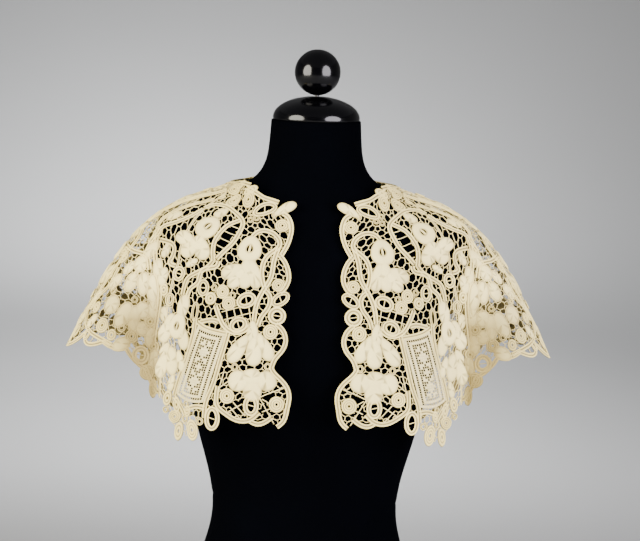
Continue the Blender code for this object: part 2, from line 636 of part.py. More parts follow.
def cut_cells(surface, outline, motifs, start, end, sizes):
    """Net cells packed row by row where no motif, edge or other cell is in the way."""
    edge_points = surface.read(outline[:, 0], outline[:, 1])[0]
    ahead = np.roll(edge_points, -1, axis=0)
    edge_points = np.concatenate([edge_points + (ahead - edge_points) * t for t in (0, 0.5)])
    spots = motifs.keep_off + [(point, EDGE_KEEP) for point in edge_points]
    centres = np.array([point for point, _ in spots])
    radii = np.array([radius for _, radius in spots])
    cells = []
    radii_tried, bar = sizes
    for cell in radii_tried:
        for row, v in enumerate(CELL_ROWS):
            width = run_length(surface, np.linspace(start, end, 30), np.full(30, v))
            shift = (row % 2) * 0.5
            count = int(width / CELL_STEP)
            us = start + (np.arange(count) + 0.5 + shift) / (count + 1) * (end - start)
            vs = np.full(count, v)
            keep = inside(outline, np.stack([us, vs], axis=-1))
            solid = surface.read(us, vs)[0]
            for u, point in zip(us[keep], solid[keep]):
                away = np.linalg.norm(centres - point, axis=1) - radii
                if away.min() < cell + bar / 2:
                    continue
                twist = 0.9 * math.sin(917 * u + 53 * v)
                shape = polygon(cell, CELL_CORNERS, twist)
                cells.append(surface.beside(np.array([u, v]), shape))
                centres = np.concatenate([centres, [point]])
                radii = np.append(radii, cell * 0.9 + bar / 2)
    return cells


def fill_points(surface, outline, taken, start, end):
    """Sparse points between the motifs, so that the wall follows the surface's curve."""
    solid_taken = surface.read(taken[:, 0], taken[:, 1])[0]
    found = []
    for row, v in enumerate(FILL_ROWS):
        width = run_length(surface, np.linspace(start, end, 30), np.full(30, v))
        count = max(2, int(width / FILL_SPACING))
        us = start + (np.arange(count) + 0.25 + 0.5 * (row % 2)) / count * (end - start)
        places = np.stack([us, np.full(count, v)], axis=-1)
        places = places[inside(outline, places)]
        for place in places:
            point = surface.read(place[0], place[1])[0]
            if np.linalg.norm(solid_taken - point, axis=1).min() > FILL_SPACING / 2:
                found.append(place)
                solid_taken = np.concatenate([solid_taken, [point]])
    return np.array(found).reshape(-1, 2)


def triangulate(surface, loops, holes, spots):
    """Triangles inside the first loop and outside the holes, in a plane with the cloth's scale."""
    places = np.concatenate([np.concatenate(loops), spots]) * CHART_SCALE
    edges = []
    first = 0
    for loop in loops:
        count = len(loop)
        edges += [(first + k, first + (k + 1) % count) for k in range(count)]
        first += count
    flat = [Vector(place) for place in places / MM]
    points, _, faces, _, _, _ = delaunay_2d_cdt(flat, edges, [], 0, 1e-4)
    points = np.array([tuple(point) for point in points]) * MM / CHART_SCALE
    faces = np.array([list(face) for face in faces])
    middles = points[faces].mean(axis=1)
    keep = inside(loops[0], middles)
    for hole in holes:
        keep &= ~inside(hole, middles)
    return points, faces[keep]


def make_wall(name, surface, places, thickness, faces, material, collection, side):
    """A closed wall: the inner skin on the surface, the outer skin moved out, and the rims."""
    point, normal, _, _ = surface.read(places[:, 0], places[:, 1])
    outer = point + normal * thickness[:, None]
    corners = point[faces]
    turn = np.cross(corners[:, 1] - corners[:, 0], corners[:, 2] - corners[:, 0])
    facing = (turn * normal[faces[:, 0]]).sum(axis=1) > 0
    faces = np.where(facing[:, None], faces, faces[:, ::-1])
    count = len(places)
    sides = np.concatenate([faces[:, [0, 1]], faces[:, [1, 2]], faces[:, [2, 0]]])
    known = {(a, b) for a, b in sides.tolist()}
    rims = [(a, b) for a, b in sides.tolist() if (b, a) not in known]
    shell = (faces + count).tolist() + faces[:, ::-1].tolist()
    shell += [(a, b, b + count, a + count) for a, b in rims]
    solid = np.concatenate([point, outer]) * (side, 1, 1)
    mesh = bpy.data.meshes.new(name)
    used = sorted({k for face in shell for k in face})
    renumber = {old: new for new, old in enumerate(used)}
    shell = [tuple(renumber[k] for k in face) for face in shell]
    if side < 0:
        shell = [face[::-1] for face in shell]
    mesh.from_pydata(solid[used].tolist(), [], shell)
    cloth = bmesh.new()
    cloth.from_mesh(mesh)
    bmesh.ops.triangulate(cloth, faces=[face for face in cloth.faces if len(face.verts) > 3])
    cloth.to_mesh(mesh)
    cloth.free()
    mesh.shade_smooth()
    mesh.set_sharp_from_angle(angle=math.radians(40))
    return add_object(name, mesh, material, collection)


def thickness_at(points, named_places, named_thick):
    """The wall's thickness at each point: that of the named place there, or else the ground."""
    thick = np.full(len(points), GROUND_THICK)
    away = np.abs(points[:, None] - named_places[None]).sum(axis=-1)
    nearest = away.argmin(axis=1)
    here = away[np.arange(len(points)), nearest] < 1e-6
    thick[here] = named_thick[nearest[here]]
    return thick


def make_panel(names, surface, start, end, lobes, sizes, motifs, material, collection,
               insert=None):
    """A panel between two places round the collar, and its mirror image where it has one."""
    outline = panel_outline(surface, start, end, lobes, start == 0)
    loops = [outline]
    holes = [loop for loop, _ in motifs.cuts]
    raised = list(motifs.raised)
    for loop, thick in motifs.cuts:
        raised += [(place, thick) for place in loop]
    if insert is not None:
        holes.append(insert)
        around = grown(insert, 1.05)
        raised = [(place, thick) for place, thick in raised if not inside(around, place[None])[0]]
        for share in (1.0, 0.72, 0.44, 0.16):
            for place in grown(insert, share):
                motifs.keep(place, INSERT_KEEP)
    cells = cut_cells(surface, outline, motifs, start, end, sizes)
    holes += cells
    spots = np.array([place for place, _ in raised]).reshape(-1, 2)
    clear = inside(outline, spots)
    for hole in holes:
        clear &= ~inside(grown(hole, 1.02), spots)
    spots = spots[clear]
    taken = np.concatenate([outline] + holes + [spots])
    spots = np.concatenate([spots, fill_points(surface, outline, taken, start, end)])
    places, faces = triangulate(surface, loops + holes, holes, spots)
    thick = thickness_at(places, np.array([place for place, _ in raised]),
                         np.array([t for _, t in raised]))
    print(names[0], "cells", len(cells), "cuts", len(holes))
    for side, name in zip((1, -1), names):
        make_wall(name, surface, places, thick, faces, material, collection, side)
    return len(holes) * len(names)


def make_filet(names, surface, material, collection):
    """The netted insert: a plain wall with a raised border, just inside its opening."""
    rings = [filet_loop(surface, SEAM_GAP * 1.3), filet_loop(surface, FILET_BORDER)]
    middle = filet_loop(surface, FILET_BORDER * 1.9)
    spots = np.concatenate([rings[1], middle])
    places, faces = triangulate(surface, [rings[0]], [], spots)
    thick = thickness_at(places, rings[1], np.full(len(rings[1]), FILET_RAISE))
    for side, name in zip((1, -1), names):
        make_wall(name, surface, places, thick, faces, material, collection, side)


def main():
    clear_scene()
    collection = bpy.data.collections.new("dress_collar_on_form")
    bpy.context.scene.collection.children.link(collection)
    lace = new_material("cream_linen_lace", LACE_COLOUR, 0.85)
    filet = new_material("netted_filet", FILET_COLOUR, 0.85)
    jersey = new_material("black_jersey", JERSEY_COLOUR, 0.9)
    gloss = new_material("black_gloss_plastic", GLOSS_BLACK, 0.12)

    torso = make_torso(jersey, collection)
    make_cap(gloss, collection)
    make_finial(gloss, collection)

    bpy.context.view_layer.update()
    surface = Surface(torso)
    half_seam = SEAM_GAP / 2
    valley = surface.knots[VALLEY_SECTION]
    back_valley = surface.knots[BACK_VALLEY_SECTION]
    total = make_panel(("collar_front_left", "collar_front_right"), surface, 0.0,
                       valley - half_seam, FRONT_LOBES, FRONT_CELLS, front_motifs(surface),
                       lace, collection, filet_loop(surface, 0.0))
    total += make_panel(("collar_shoulder_left", "collar_shoulder_right"), surface,
                        valley + half_seam, back_valley - half_seam, WING_LOBES, WING_CELLS,
                        wing_motifs(surface), lace, collection)
    total += make_panel(("collar_back",), surface, back_valley + half_seam,
                        surface.length - back_valley - half_seam, BACK_LOBES, BACK_CELLS,
                        back_motifs(surface), lace, collection)
    make_filet(("filet_insert_left", "filet_insert_right"), surface, filet, collection)
    print("gaps cut through:", total)


main()
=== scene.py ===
# %% [markdown]
# # A dress collar of tape lace on a black dress form
#
# The collar is a wide cape of cream lace, open down the front. It is mixed lace: woven tapes
# are laid along a pattern, cut cloth petals, crocheted discs and rings of tape are set between
# them, and a needle-made net of thread bars joins everything. A netted insert is let into each
# front.
#
# The solids come packed, as the frame that every piece below is fitted to. Here each plain
# wall gets its real make-up: hundreds of strips, petals and bars laid on one smooth surface.
#
# Metres, +Z up. The form faces -Y, and left and right are the wearer's, so left is +X.

import math

import bmesh
import bpy
import numpy as np
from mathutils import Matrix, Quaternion, Vector
from mathutils.geometry import delaunay_2d_cdt


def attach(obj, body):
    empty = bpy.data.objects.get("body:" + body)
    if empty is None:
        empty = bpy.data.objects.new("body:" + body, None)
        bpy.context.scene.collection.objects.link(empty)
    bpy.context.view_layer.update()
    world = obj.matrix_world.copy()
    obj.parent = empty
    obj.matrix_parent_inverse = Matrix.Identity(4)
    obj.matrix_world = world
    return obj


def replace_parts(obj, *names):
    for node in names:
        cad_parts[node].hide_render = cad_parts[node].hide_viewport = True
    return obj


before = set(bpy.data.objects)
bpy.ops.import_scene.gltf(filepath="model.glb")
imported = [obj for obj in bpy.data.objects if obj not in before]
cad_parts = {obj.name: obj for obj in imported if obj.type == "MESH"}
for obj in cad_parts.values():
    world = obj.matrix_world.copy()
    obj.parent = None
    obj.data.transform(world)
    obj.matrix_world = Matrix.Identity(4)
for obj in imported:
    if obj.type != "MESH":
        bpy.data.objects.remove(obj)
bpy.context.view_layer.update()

MM = 0.001
CHANCE = np.random.default_rng(7)

# %% [markdown]
# ## How the reference view sees a point
#
# The lace has no repeat that a formula could give, so its motifs are placed by where each one
# is seen on the viewer's left half. The camera is a plain pinhole, and one function says where it
# sees any point. The camera made at the end has the same numbers.

# %% The reference view
VIEW_DISTANCE = 4.5
VIEW_AZIMUTH = math.radians(-3.0)
VIEW_ELEVATION = math.radians(5.5)
VIEW_ROLL = math.radians(1.8)
# The point looked at, in metres across and up
VIEW_TARGET = (0.011, 0.531)
METRES_PER_PIXEL = 0.0013
PICTURE = (640, 541)
VIEW_CENTRE = (320, 270.5)

SIN_AZIMUTH, COS_AZIMUTH = math.sin(VIEW_AZIMUTH), math.cos(VIEW_AZIMUTH)
TARGET = np.array([VIEW_TARGET[0] * COS_AZIMUTH, VIEW_TARGET[0] * SIN_AZIMUTH, VIEW_TARGET[1]])
LOOK = np.array([
    -SIN_AZIMUTH * math.cos(VIEW_ELEVATION),
    COS_AZIMUTH * math.cos(VIEW_ELEVATION),
    -math.sin(VIEW_ELEVATION),
])
RIGHT = np.array([COS_AZIMUTH, SIN_AZIMUTH, 0.0])
UP = np.cross(RIGHT, LOOK)
print("the camera looks along", np.round(LOOK, 4))


def view_of(points):
    """Picture place of each point: its offsets right and up over its depth, times the scale
    at the target, then turned by the roll."""
    away = points - (TARGET - LOOK * VIEW_DISTANCE)
    scale = VIEW_DISTANCE / METRES_PER_PIXEL / (away @ LOOK)
    x, y = away @ RIGHT * scale, -(away @ UP) * scale
    tilt, keep = math.sin(VIEW_ROLL), math.cos(VIEW_ROLL)
    return np.stack([VIEW_CENTRE[0] + x * keep - y * tilt,
                     VIEW_CENTRE[1] + x * tilt + y * keep], axis=-1)


# %% [markdown]
# ## Smooth rows
#
# The form and the collar are both drawn through short tables of sections. A natural cubic
# spline passes through every row with no corner, which is how stretched cloth lies.

# %% A spline through rows of values
def spline(knots, values, at):
    """Natural cubic spline: between two knots, each end's value and bend weigh in by how near
    it is, and the bends come from one set of equations that keeps the slope unbroken."""
    knots, values, at = (np.asarray(item, float) for item in (knots, values, at))
    gaps = np.diff(knots)
    system = np.eye(len(knots))
    right = np.zeros_like(values)
    for i in range(1, len(knots) - 1):
        system[i, i - 1 : i + 2] = gaps[i - 1], 2 * (gaps[i - 1] + gaps[i]), gaps[i]
        rise = (values[i + 1] - values[i]) / gaps[i]
        right[i] = 6 * (rise - (values[i] - values[i - 1]) / gaps[i - 1])
    bend = np.linalg.solve(system, right.reshape(len(knots), -1)).reshape(values.shape)
    piece = np.clip(np.searchsorted(knots, at) - 1, 0, len(knots) - 2)
    wide = (...,) + (None,) * (values.ndim - 1)
    before = (at - knots[piece])[wide]
    after = (knots[piece + 1] - at)[wide]
    gap = gaps[piece][wide]
    low = (values[piece] / gap - bend[piece] * gap / 6) * after
    high = (values[piece + 1] / gap - bend[piece + 1] * gap / 6) * before
    return (bend[piece] * after**3 + bend[piece + 1] * before**3) / (6 * gap) + low + high


# %% Small helpers for arrays of points
def unit(vectors):
    """Each vector over its own length."""
    return vectors / np.maximum(np.linalg.norm(vectors, axis=-1, keepdims=True), 1e-12)


def run_along(points):
    """How far the line has run at each of its points, as the sum of its steps."""
    return np.concatenate([[0], np.cumsum(np.linalg.norm(np.diff(points, axis=0), axis=1))])


def grid_of(*parts):
    """One grid of points, or of map places, from coordinates that stretch to one shape."""
    return np.stack(np.broadcast_arrays(*parts), axis=-1)


def closed_with_middles(grids):
    """Grids with a row more at each end, drawn in to the end's middle, so that both close."""
    ends = [np.broadcast_to(row.mean(axis=-2, keepdims=True), row.shape)
            for row in (grids[..., :1, :, :], grids[..., -1:, :, :])]
    return np.concatenate([ends[0], grids, ends[1]], axis=-3)


# %% [markdown]
# ## A pile of closed strips
#
# Lace is made of very many small things. Each is a grid of points whose rows run along it and
# whose columns run round it. Gathering all the grids of a panel in one pile and making one
# mesh at the end keeps a panel to one object, and lets each strip keep its own finish.

# %% Gather grids and turn them into one mesh
class Pile:
    """Closed grids of points, gathered as arrays until they are made into one mesh."""

    def __init__(self):
        self.points, self.quads, self.uvs, self.tones, self.slots = [], [], [], [], []
        self.count = 0
        self.laid = 0.0

    def add(self, grids, uvs, slot, tones, ring=False):
        """Adds grids of shape (number, rows, columns, 3). The columns always join round, and
        the rows too for a ring. uvs has one more row or column where the grid joins. A tone
        is 1 on the top of the work and less in its grooves and underneath, which is painted shade."""
        number, rows, columns, _ = grids.shape
        i = np.arange(rows if ring else rows - 1)[:, None]
        j = np.arange(columns)[None, :]
        after_i, after_j = (i + 1) % rows, (j + 1) % columns
        corners = np.stack([i * columns + j, i * columns + after_j,
                            after_i * columns + after_j, after_i * columns + j], axis=-1)
        corners = corners.reshape(-1, 4)
        flat = grids.reshape(number, -1, 3)
        a, b, c, d = (flat[:, corners[:, k]] for k in range(4))
        middle = flat.mean(axis=1)[:, None]
        volume = (np.cross(b - a, d - b) * (a - middle)).sum(axis=(1, 2))
        uvs = np.broadcast_to(uvs, (number,) + uvs.shape[-3:])
        place = np.stack([uvs[:, i, j], uvs[:, i, j + 1], uvs[:, i + 1, j + 1],
                          uvs[:, i + 1, j]], axis=3).reshape(number, -1, 4, 2)
        faces = corners[None] + (np.arange(number) * rows * columns)[:, None, None]
        inward = volume < 0
        faces[inward] = faces[inward][:, :, ::-1]
        place = place.copy()
        place[inward] = place[inward][:, :, ::-1]
        self.points.append(flat.reshape(-1, 3))
        self.quads.append(faces.reshape(-1, 4) + self.count)
        self.uvs.append(place.reshape(-1, 2))
        self.tones.append(np.array(np.broadcast_to(tones, (number, rows, columns))).reshape(-1))
        self.slots.append(np.full(number * len(corners), slot))
        self.count += number * rows * columns

    def make(self, name, materials, side=1):
        """One mesh object of everything gathered. Side -1 makes its mirror image."""
        points = np.concatenate(self.points) * (side, 1, 1)
        quads, uvs = np.concatenate(self.quads), np.concatenate(self.uvs)
        if side < 0:
            quads, uvs = quads[:, ::-1], uvs.reshape(-1, 4, 2)[:, ::-1].reshape(-1, 2)
        mesh = bpy.data.meshes.new(name)
        mesh.vertices.add(len(points))
        mesh.vertices.foreach_set("co", points.ravel())
        mesh.loops.add(quads.size)
        mesh.loops.foreach_set("vertex_index", quads.ravel())
        mesh.polygons.add(len(quads))
        mesh.polygons.foreach_set("loop_start", np.arange(len(quads)) * 4)
        mesh.polygons.foreach_set("material_index", np.concatenate(self.slots))
        mesh.uv_layers.new(name="cloth").data.foreach_set("uv", uvs.ravel())
        tone = mesh.attributes.new("tone", "FLOAT", "POINT")
        tone.data.foreach_set("value", np.concatenate(self.tones))
        mesh.update(calc_edges=True)
        cloth = bmesh.new()
        cloth.from_mesh(mesh)
        bmesh.ops.remove_doubles(cloth, verts=cloth.verts, dist=2e-6)
        cloth.to_mesh(mesh)
        cloth.free()
        mesh.shade_smooth()
        for material in materials:
            mesh.materials.append(material)
        piece = bpy.data.objects.new(name, mesh)
        bpy.context.scene.collection.objects.link(piece)
        mesh.calc_loop_triangles()
        print(name, len(mesh.loop_triangles), "triangles")
        return piece


def piece_of_one(name, grid, uvs, material):
    """A piece that is a single closed grid."""
    pile = Pile()
    pile.add(grid[None], uvs, 0, 0.5)
    return pile.make(name, (material,))


# %% [markdown]
# ## The dress form's torso
#
# A display form is a padded shell covered in black knitted jersey, with no arms. It is drawn
# through rings from the neck down. Each ring has a height at the side, in front and behind,
# so the rings tilt as the body does. The cover ends in a faint turned edge near the waist.

# %% Sizes of the torso's rings
# Half width and its height, half depth in front and its height, half depth behind and its height
TORSO_ROWS = (
    ("neck top", 0.0580, 0.726, 0.055, 0.726, 0.055, 0.726),
    ("neck", 0.0605, 0.690, 0.056, 0.690, 0.056, 0.692),
    ("low neck", 0.0640, 0.672, 0.058, 0.668, 0.060, 0.677),
    ("neck base", 0.0770, 0.651, 0.064, 0.645, 0.068, 0.662),
    ("collarbone", 0.1000, 0.638, 0.074, 0.627, 0.080, 0.648),
    ("shoulder", 0.1500, 0.618, 0.088, 0.600, 0.095, 0.630),
    ("shoulder end", 0.1880, 0.602, 0.098, 0.577, 0.104, 0.607),
    ("shoulder corner", 0.2030, 0.589, 0.105, 0.560, 0.109, 0.590),
    ("upper arm", 0.2060, 0.570, 0.110, 0.542, 0.113, 0.570),
    ("armhole", 0.1960, 0.532, 0.117, 0.515, 0.118, 0.535),
    ("chest", 0.1860, 0.500, 0.122, 0.488, 0.118, 0.505),
    ("bust", 0.1700, 0.430, 0.127, 0.440, 0.113, 0.435),
    ("under bust", 0.1520, 0.360, 0.116, 0.370, 0.102, 0.360),
    ("midriff", 0.1390, 0.310, 0.102, 0.310, 0.096, 0.310),
    ("waist", 0.1200, 0.220, 0.090, 0.220, 0.085, 0.220),
    ("high hip", 0.1265, 0.180, 0.094, 0.180, 0.095, 0.170),
    ("hip", 0.1500, 0.110, 0.105, 0.110, 0.120, 0.100),
    ("low hip", 0.1650, 0.040, 0.110, 0.040, 0.125, 0.040),
    ("base", 0.1660, 0.000, 0.110, 0.000, 0.122, 0.000),
)
ROUNDNESS = 2.2
TORSO_COLUMNS, TORSO_RINGS = 160, 130
EDGE_HEIGHT = 0.232
EDGE_TILT = -0.030
EDGE_DEPTH = 1.0 * MM
EDGE_SPREAD = 2.6 * MM
ROUND_THE_TORSO = 0.9


# %% Carry the rings down the torso
def torso_grid():
    """Rings as superellipses: x is the half width times cosine to a power, y the half depth
    times sine to it, and the height blends from the side's to the front's or the back's."""
    rows = np.array([row[1:] for row in TORSO_ROWS])
    places = np.concatenate([[0], np.cumsum(np.abs(np.diff(rows, axis=0)).sum(axis=1))])
    rings = spline(places, rows, np.linspace(0, places[-1], TORSO_RINGS))
    turn = np.linspace(0, 2 * math.pi, TORSO_COLUMNS, endpoint=False)
    cos, sin = np.cos(turn), np.sin(turn)
    depth = np.where(sin < 0, rings[:, 2:3], rings[:, 4:5])
    depth_z = np.where(sin < 0, rings[:, 3:4], rings[:, 5:6])
    x = rings[:, 0:1] * np.sign(cos) * np.abs(cos) ** (2 / ROUNDNESS)
    y = depth * np.sign(sin) * np.abs(sin) ** (2 / ROUNDNESS)
    z = rings[:, 1:2] * cos**2 + depth_z * sin**2
    z = np.clip(z, 0, None)
    dip = np.exp(-(((z - EDGE_HEIGHT - EDGE_TILT * x) / EDGE_SPREAD) ** 2)) * EDGE_DEPTH
    inward = 1 - dip / np.hypot(x, y)
    return np.stack([x * inward, y * inward, z], axis=-1)


def normals_of(grid):
    """Unit normals of a grid that joins round its columns: the cross product of its slopes."""
    round_it = np.roll(grid, -1, axis=1) - np.roll(grid, 1, axis=1)
    down_it = np.gradient(grid, axis=0)
    return unit(np.cross(down_it, round_it))


torso = torso_grid()
torso_normals = normals_of(torso)
if torso_normals[TORSO_RINGS // 2, 0, 0] < 0:
    torso_normals = -torso_normals
print("torso rings", torso.shape, "widest", round(float(torso[..., 0].max()), 4))

# %% [markdown]
# ## The surface that the lace lies on
#
# The panels share one surface, u metres round from the front edge and v from the neck, 0, to
# the hem, 1. It is a spline through sections, then laid clear of the form. Where a point
# would sink in, it moves out along the form's normal, more below than at the neck.

# %% Sections of the collar
# Each section from neck to hem, on the left half, from the front edge round to the back's middle
COLLAR_ROWS = (
    ("front edge", (0.032, -0.086, 0.622), (0.030, -0.112, 0.553), (0.031, -0.131, 0.482),
     (0.034, -0.137, 0.410), (0.037, -0.137, 0.338)),
    ("front middle", (0.066, -0.068, 0.641), (0.071, -0.105, 0.566), (0.078, -0.127, 0.490),
     (0.083, -0.134, 0.412), (0.087, -0.134, 0.333)),
    ("front outer", (0.087, -0.044, 0.647), (0.112, -0.085, 0.578), (0.134, -0.108, 0.495),
     (0.145, -0.116, 0.405), (0.150, -0.119, 0.316)),
    ("front valley", (0.096, -0.022, 0.645), (0.145, -0.052, 0.600), (0.179, -0.074, 0.524),
     (0.190, -0.082, 0.444), (0.194, -0.080, 0.368)),
    ("wing front", (0.100, -0.011, 0.643), (0.165, -0.028, 0.611), (0.211, -0.051, 0.553),
     (0.232, -0.074, 0.490), (0.246, -0.088, 0.428)),
    ("wing ridge", (0.101, 0.000, 0.642), (0.174, 0.000, 0.616), (0.231, 0.001, 0.571),
     (0.273, 0.003, 0.508), (0.314, 0.004, 0.423)),
    ("wing back", (0.100, 0.011, 0.643), (0.165, 0.029, 0.613), (0.211, 0.053, 0.555),
     (0.232, 0.077, 0.490), (0.246, 0.092, 0.428)),
    ("back valley", (0.096, 0.024, 0.647), (0.145, 0.056, 0.604), (0.179, 0.080, 0.526),
     (0.190, 0.088, 0.444), (0.194, 0.087, 0.362)),
    ("back outer", (0.083, 0.048, 0.653), (0.106, 0.086, 0.590), (0.126, 0.110, 0.500),
     (0.139, 0.121, 0.408), (0.146, 0.126, 0.318)),
    ("back middle", (0.046, 0.074, 0.660), (0.052, 0.104, 0.590), (0.058, 0.124, 0.502),
     (0.063, 0.133, 0.415), (0.068, 0.137, 0.328)),
    ("back centre", (0.000, 0.083, 0.661), (0.000, 0.110, 0.592), (0.000, 0.128, 0.505),
     (0.000, 0.136, 0.415), (0.000, 0.139, 0.325)),
)
VALLEY_SECTION, RIDGE_SECTION, BACK_VALLEY_SECTION = 3, 5, 7
LIFT_AT_NECK, LIFT_BELOW, LIFT_REACHED = 0.9 * MM, 4.0 * MM, 0.22
SURFACE_COLUMNS, SURFACE_ROWS = 281, 57
FORM_FROM = 0.25
MIRROR = np.array([-1.0, 1.0, 1.0])
print(len(COLLAR_ROWS), "sections from the front edge to the back's middle")


# %% Lay the surface through the sections, clear of the form
def push_clear(grid, lift, form, form_normals, batch=400):
    """Moves each point that is nearer than its lift out along the form's normal. The form is
    near enough to flat between its points, so the nearest point's normal serves."""
    form, form_normals = form.reshape(-1, 3), form_normals.reshape(-1, 3)
    flat, lift = grid.reshape(-1, 3).copy(), lift.reshape(-1)
    size = (form**2).sum(axis=1)
    for start in range(0, len(flat), batch):
        here = flat[start : start + batch]
        near = (size[None] - 2 * here @ form.T).argmin(axis=1)
        height = ((here - form[near]) * form_normals[near]).sum(axis=1)
        rise = np.maximum(lift[start : start + batch] - height, 0)
        flat[start : start + batch] = here + form_normals[near] * rise[:, None]
    return flat.reshape(grid.shape)


class Surface:
    """The collar's inner surface, as a grid of points and outward normals over u and v."""

    def __init__(self):
        half = np.array([row[1:] for row in COLLAR_ROWS])
        whole = np.concatenate([half, half[::-1][1:] * MIRROR])
        lower = np.linalg.norm(np.diff(whole[:, 3], axis=0), axis=1)
        upper = np.linalg.norm(np.diff(whole[:, 1], axis=0), axis=1)
        self.knots = np.concatenate([[0], np.cumsum((lower + upper) / 2)])
        self.length = self.knots[-1]
        self.u = np.linspace(0, self.length, SURFACE_COLUMNS)
        self.v = np.linspace(0, 1, SURFACE_ROWS)
        sections = spline(self.knots, whole, self.u)
        stations = spline(np.linspace(0, 1, half.shape[1]), np.eye(half.shape[1]), self.v)
        grid = np.einsum("usc,vs->uvc", sections, stations)
        lift = LIFT_AT_NECK + (LIFT_BELOW - LIFT_AT_NECK) * np.clip(self.v / LIFT_REACHED, 0, 1)
        upper = torso[..., 2].min(axis=1) > FORM_FROM
        self.grid = push_clear(grid, np.broadcast_to(lift, grid.shape[:2]),
                               torso[upper], torso_normals[upper])
        along = np.gradient(self.grid, self.u, axis=0)
        down = np.gradient(self.grid, self.v, axis=1)
        normal = unit(np.cross(along, down))
        outward = normal if normal[SURFACE_COLUMNS // 4, 0, 2] > 0 else -normal
        self.fields = np.concatenate([self.grid, outward, along, down], axis=-1)

    def read(self, uv):
        """(point, outward normal, along, down) at (u, v), weighed from the four grid points.
        A little past the edges, where a rim overhangs, it runs straight on."""
        across = np.clip(uv[..., 0] / self.length, -0.02, 1.02) * (SURFACE_COLUMNS - 1)
        below = np.clip(uv[..., 1], -0.05, 1.05) * (SURFACE_ROWS - 1)
        i = np.clip(across.astype(int), 0, SURFACE_COLUMNS - 2)
        j = np.clip(below.astype(int), 0, SURFACE_ROWS - 2)
        p, q = (across - i)[..., None], (below - j)[..., None]
        f = self.fields
        found = (f[i, j] * (1 - p) + f[i + 1, j] * p) * (1 - q)
        found += (f[i, j + 1] * (1 - p) + f[i + 1, j + 1] * p) * q
        point, normal, along, down = (found[..., k : k + 3] for k in (0, 3, 6, 9))
        return point, unit(normal), along, down

    def lifted(self, uv, height):
        """Points on the surface, raised along its normal."""
        point, normal, _, _ = self.read(uv)
        return point + normal * np.asarray(height)[..., None]

    def from_view(self, seen):
        """(u, v) on the mirrored front half for places seen: the nearest grid point first,
        then a few steps along the picture's slopes, never further than one grid step, or than
        four beyond the front edge."""
        columns = int(self.knots[RIDGE_SECTION] / self.length * (SURFACE_COLUMNS - 1)) + 1
        places = view_of(self.grid[:columns].reshape(-1, 3) * MIRROR)
        seen = np.asarray(seen, float).reshape(-1, 2)
        best = ((places[None] - seen[:, None]) ** 2).sum(axis=-1).argmin(axis=1)
        start = np.stack([self.u[best // SURFACE_ROWS], self.v[best % SURFACE_ROWS]], axis=-1)
        reach = np.array([self.u[1], self.v[1]])
        past_edge = np.where(start < reach, (4.0, 1.0), 1.0)
        uv = start.copy()
        for _ in range(4):
            here = view_of(self.read(uv)[0] * MIRROR)
            east = view_of(self.read(uv + (reach[0] / 4, 0))[0] * MIRROR) - here
            south = view_of(self.read(uv + (0, reach[1] / 4))[0] * MIRROR) - here
            miss = seen - here
            area = east[:, 0] * south[:, 1] - east[:, 1] * south[:, 0]
            area = np.where(np.abs(area) < 0.05, 0.05, area)
            step = np.stack([miss[:, 0] * south[:, 1] - miss[:, 1] * south[:, 0],
                             east[:, 0] * miss[:, 1] - east[:, 1] * miss[:, 0]], axis=-1)
            uv = uv + step / area[:, None] * reach / 4
            uv = np.clip(uv, start - reach * past_edge, start + reach)
        return uv

    def beside(self, place, offsets):
        """(u, v) of points offset by metres across and down the cloth from one (u, v)."""
        _, normal, along, down = self.read(np.asarray(place))
        fall = unit(np.array([0, 0, -1.0]) + normal * normal[2])
        across = np.cross(normal, fall)
        moved = offsets[..., :1] * across + offsets[..., 1:] * fall
        slopes = np.linalg.pinv(np.stack([along, down], axis=-1))
        return np.asarray(place) + moved @ slopes.T


surface = Surface()
VALLEY_U, RIDGE_U, BACK_VALLEY_U = (
    surface.knots[k] for k in (VALLEY_SECTION, RIDGE_SECTION, BACK_VALLEY_SECTION)
)
print("collar surface", round(surface.length, 3), "m round at its middle")

# %% [markdown]
# ## Tapes and cords as strips
#
# A lace tape is woven flat, about 6 mm wide, with thicker edges and a line of holes down its
# middle, and is bent round the pattern. A strip with a fixed cross-section, carried along a
# path on the surface, gives that, and the same function makes thin cords.

# %% Sizes and cross-sections of tape and cord
TAPE, PETAL, THREAD, CROCHET = range(4)
TAPE_HALF_WIDTH, TAPE_HEIGHT, TAPE_LIFT = 3.0 * MM, 1.8 * MM, 0.8 * MM
TAPE_STEP = 2.5 * MM

# Cross-sections as (share of the half width, share of the height, tone), once round. The tone is
# painted shade: less in the middle groove, on the sides and underneath
TAPE_PROFILE = np.array([
    (-1.0, 0.45, 0.4), (-0.86, 0.98, 1.0), (-0.58, 0.90, 1.0), (-0.26, 0.52, 0.4),
    (0.0, 0.20, 0.0), (0.26, 0.52, 0.4), (0.58, 0.90, 1.0), (0.86, 0.98, 1.0),
    (1.0, 0.45, 0.4), (0.85, 0.0, 0.1), (-0.85, 0.0, 0.1),
])
TURN_OF_FIVE = np.arange(5) * 2 * math.pi / 5 + 0.1 * math.pi
# A cord's third column is painted shade: lighter on top and darker underneath
CORD_PROFILE = np.stack([np.cos(TURN_OF_FIVE), 0.5 + 0.5 * np.sin(TURN_OF_FIVE),
                         0.75 + 0.25 * np.sin(TURN_OF_FIVE)], axis=-1)
print("tape", round(2 * TAPE_HALF_WIDTH / MM, 1), "mm wide and", round(TAPE_HEIGHT / MM, 1), "mm high")


# %% Carry a cross-section along a path
def respaced(fine, spacing):
    """The same line with points spaced evenly, by its run length in metres."""
    run = run_along(surface.read(fine)[0])
    at = np.linspace(0, run[-1], max(3, int(round(run[-1] / spacing)) + 1))
    return np.stack([np.interp(at, run, fine[:, k]) for k in (0, 1)], axis=-1)


def even_path(points, spacing):
    """(u, v) points spaced evenly in metres on a smooth curve through a few (u, v) points."""
    places = np.asarray(points, float)
    knots = np.arange(len(places), dtype=float)
    return respaced(spline(knots, places, np.linspace(0, knots[-1], 40 * len(places))), spacing)


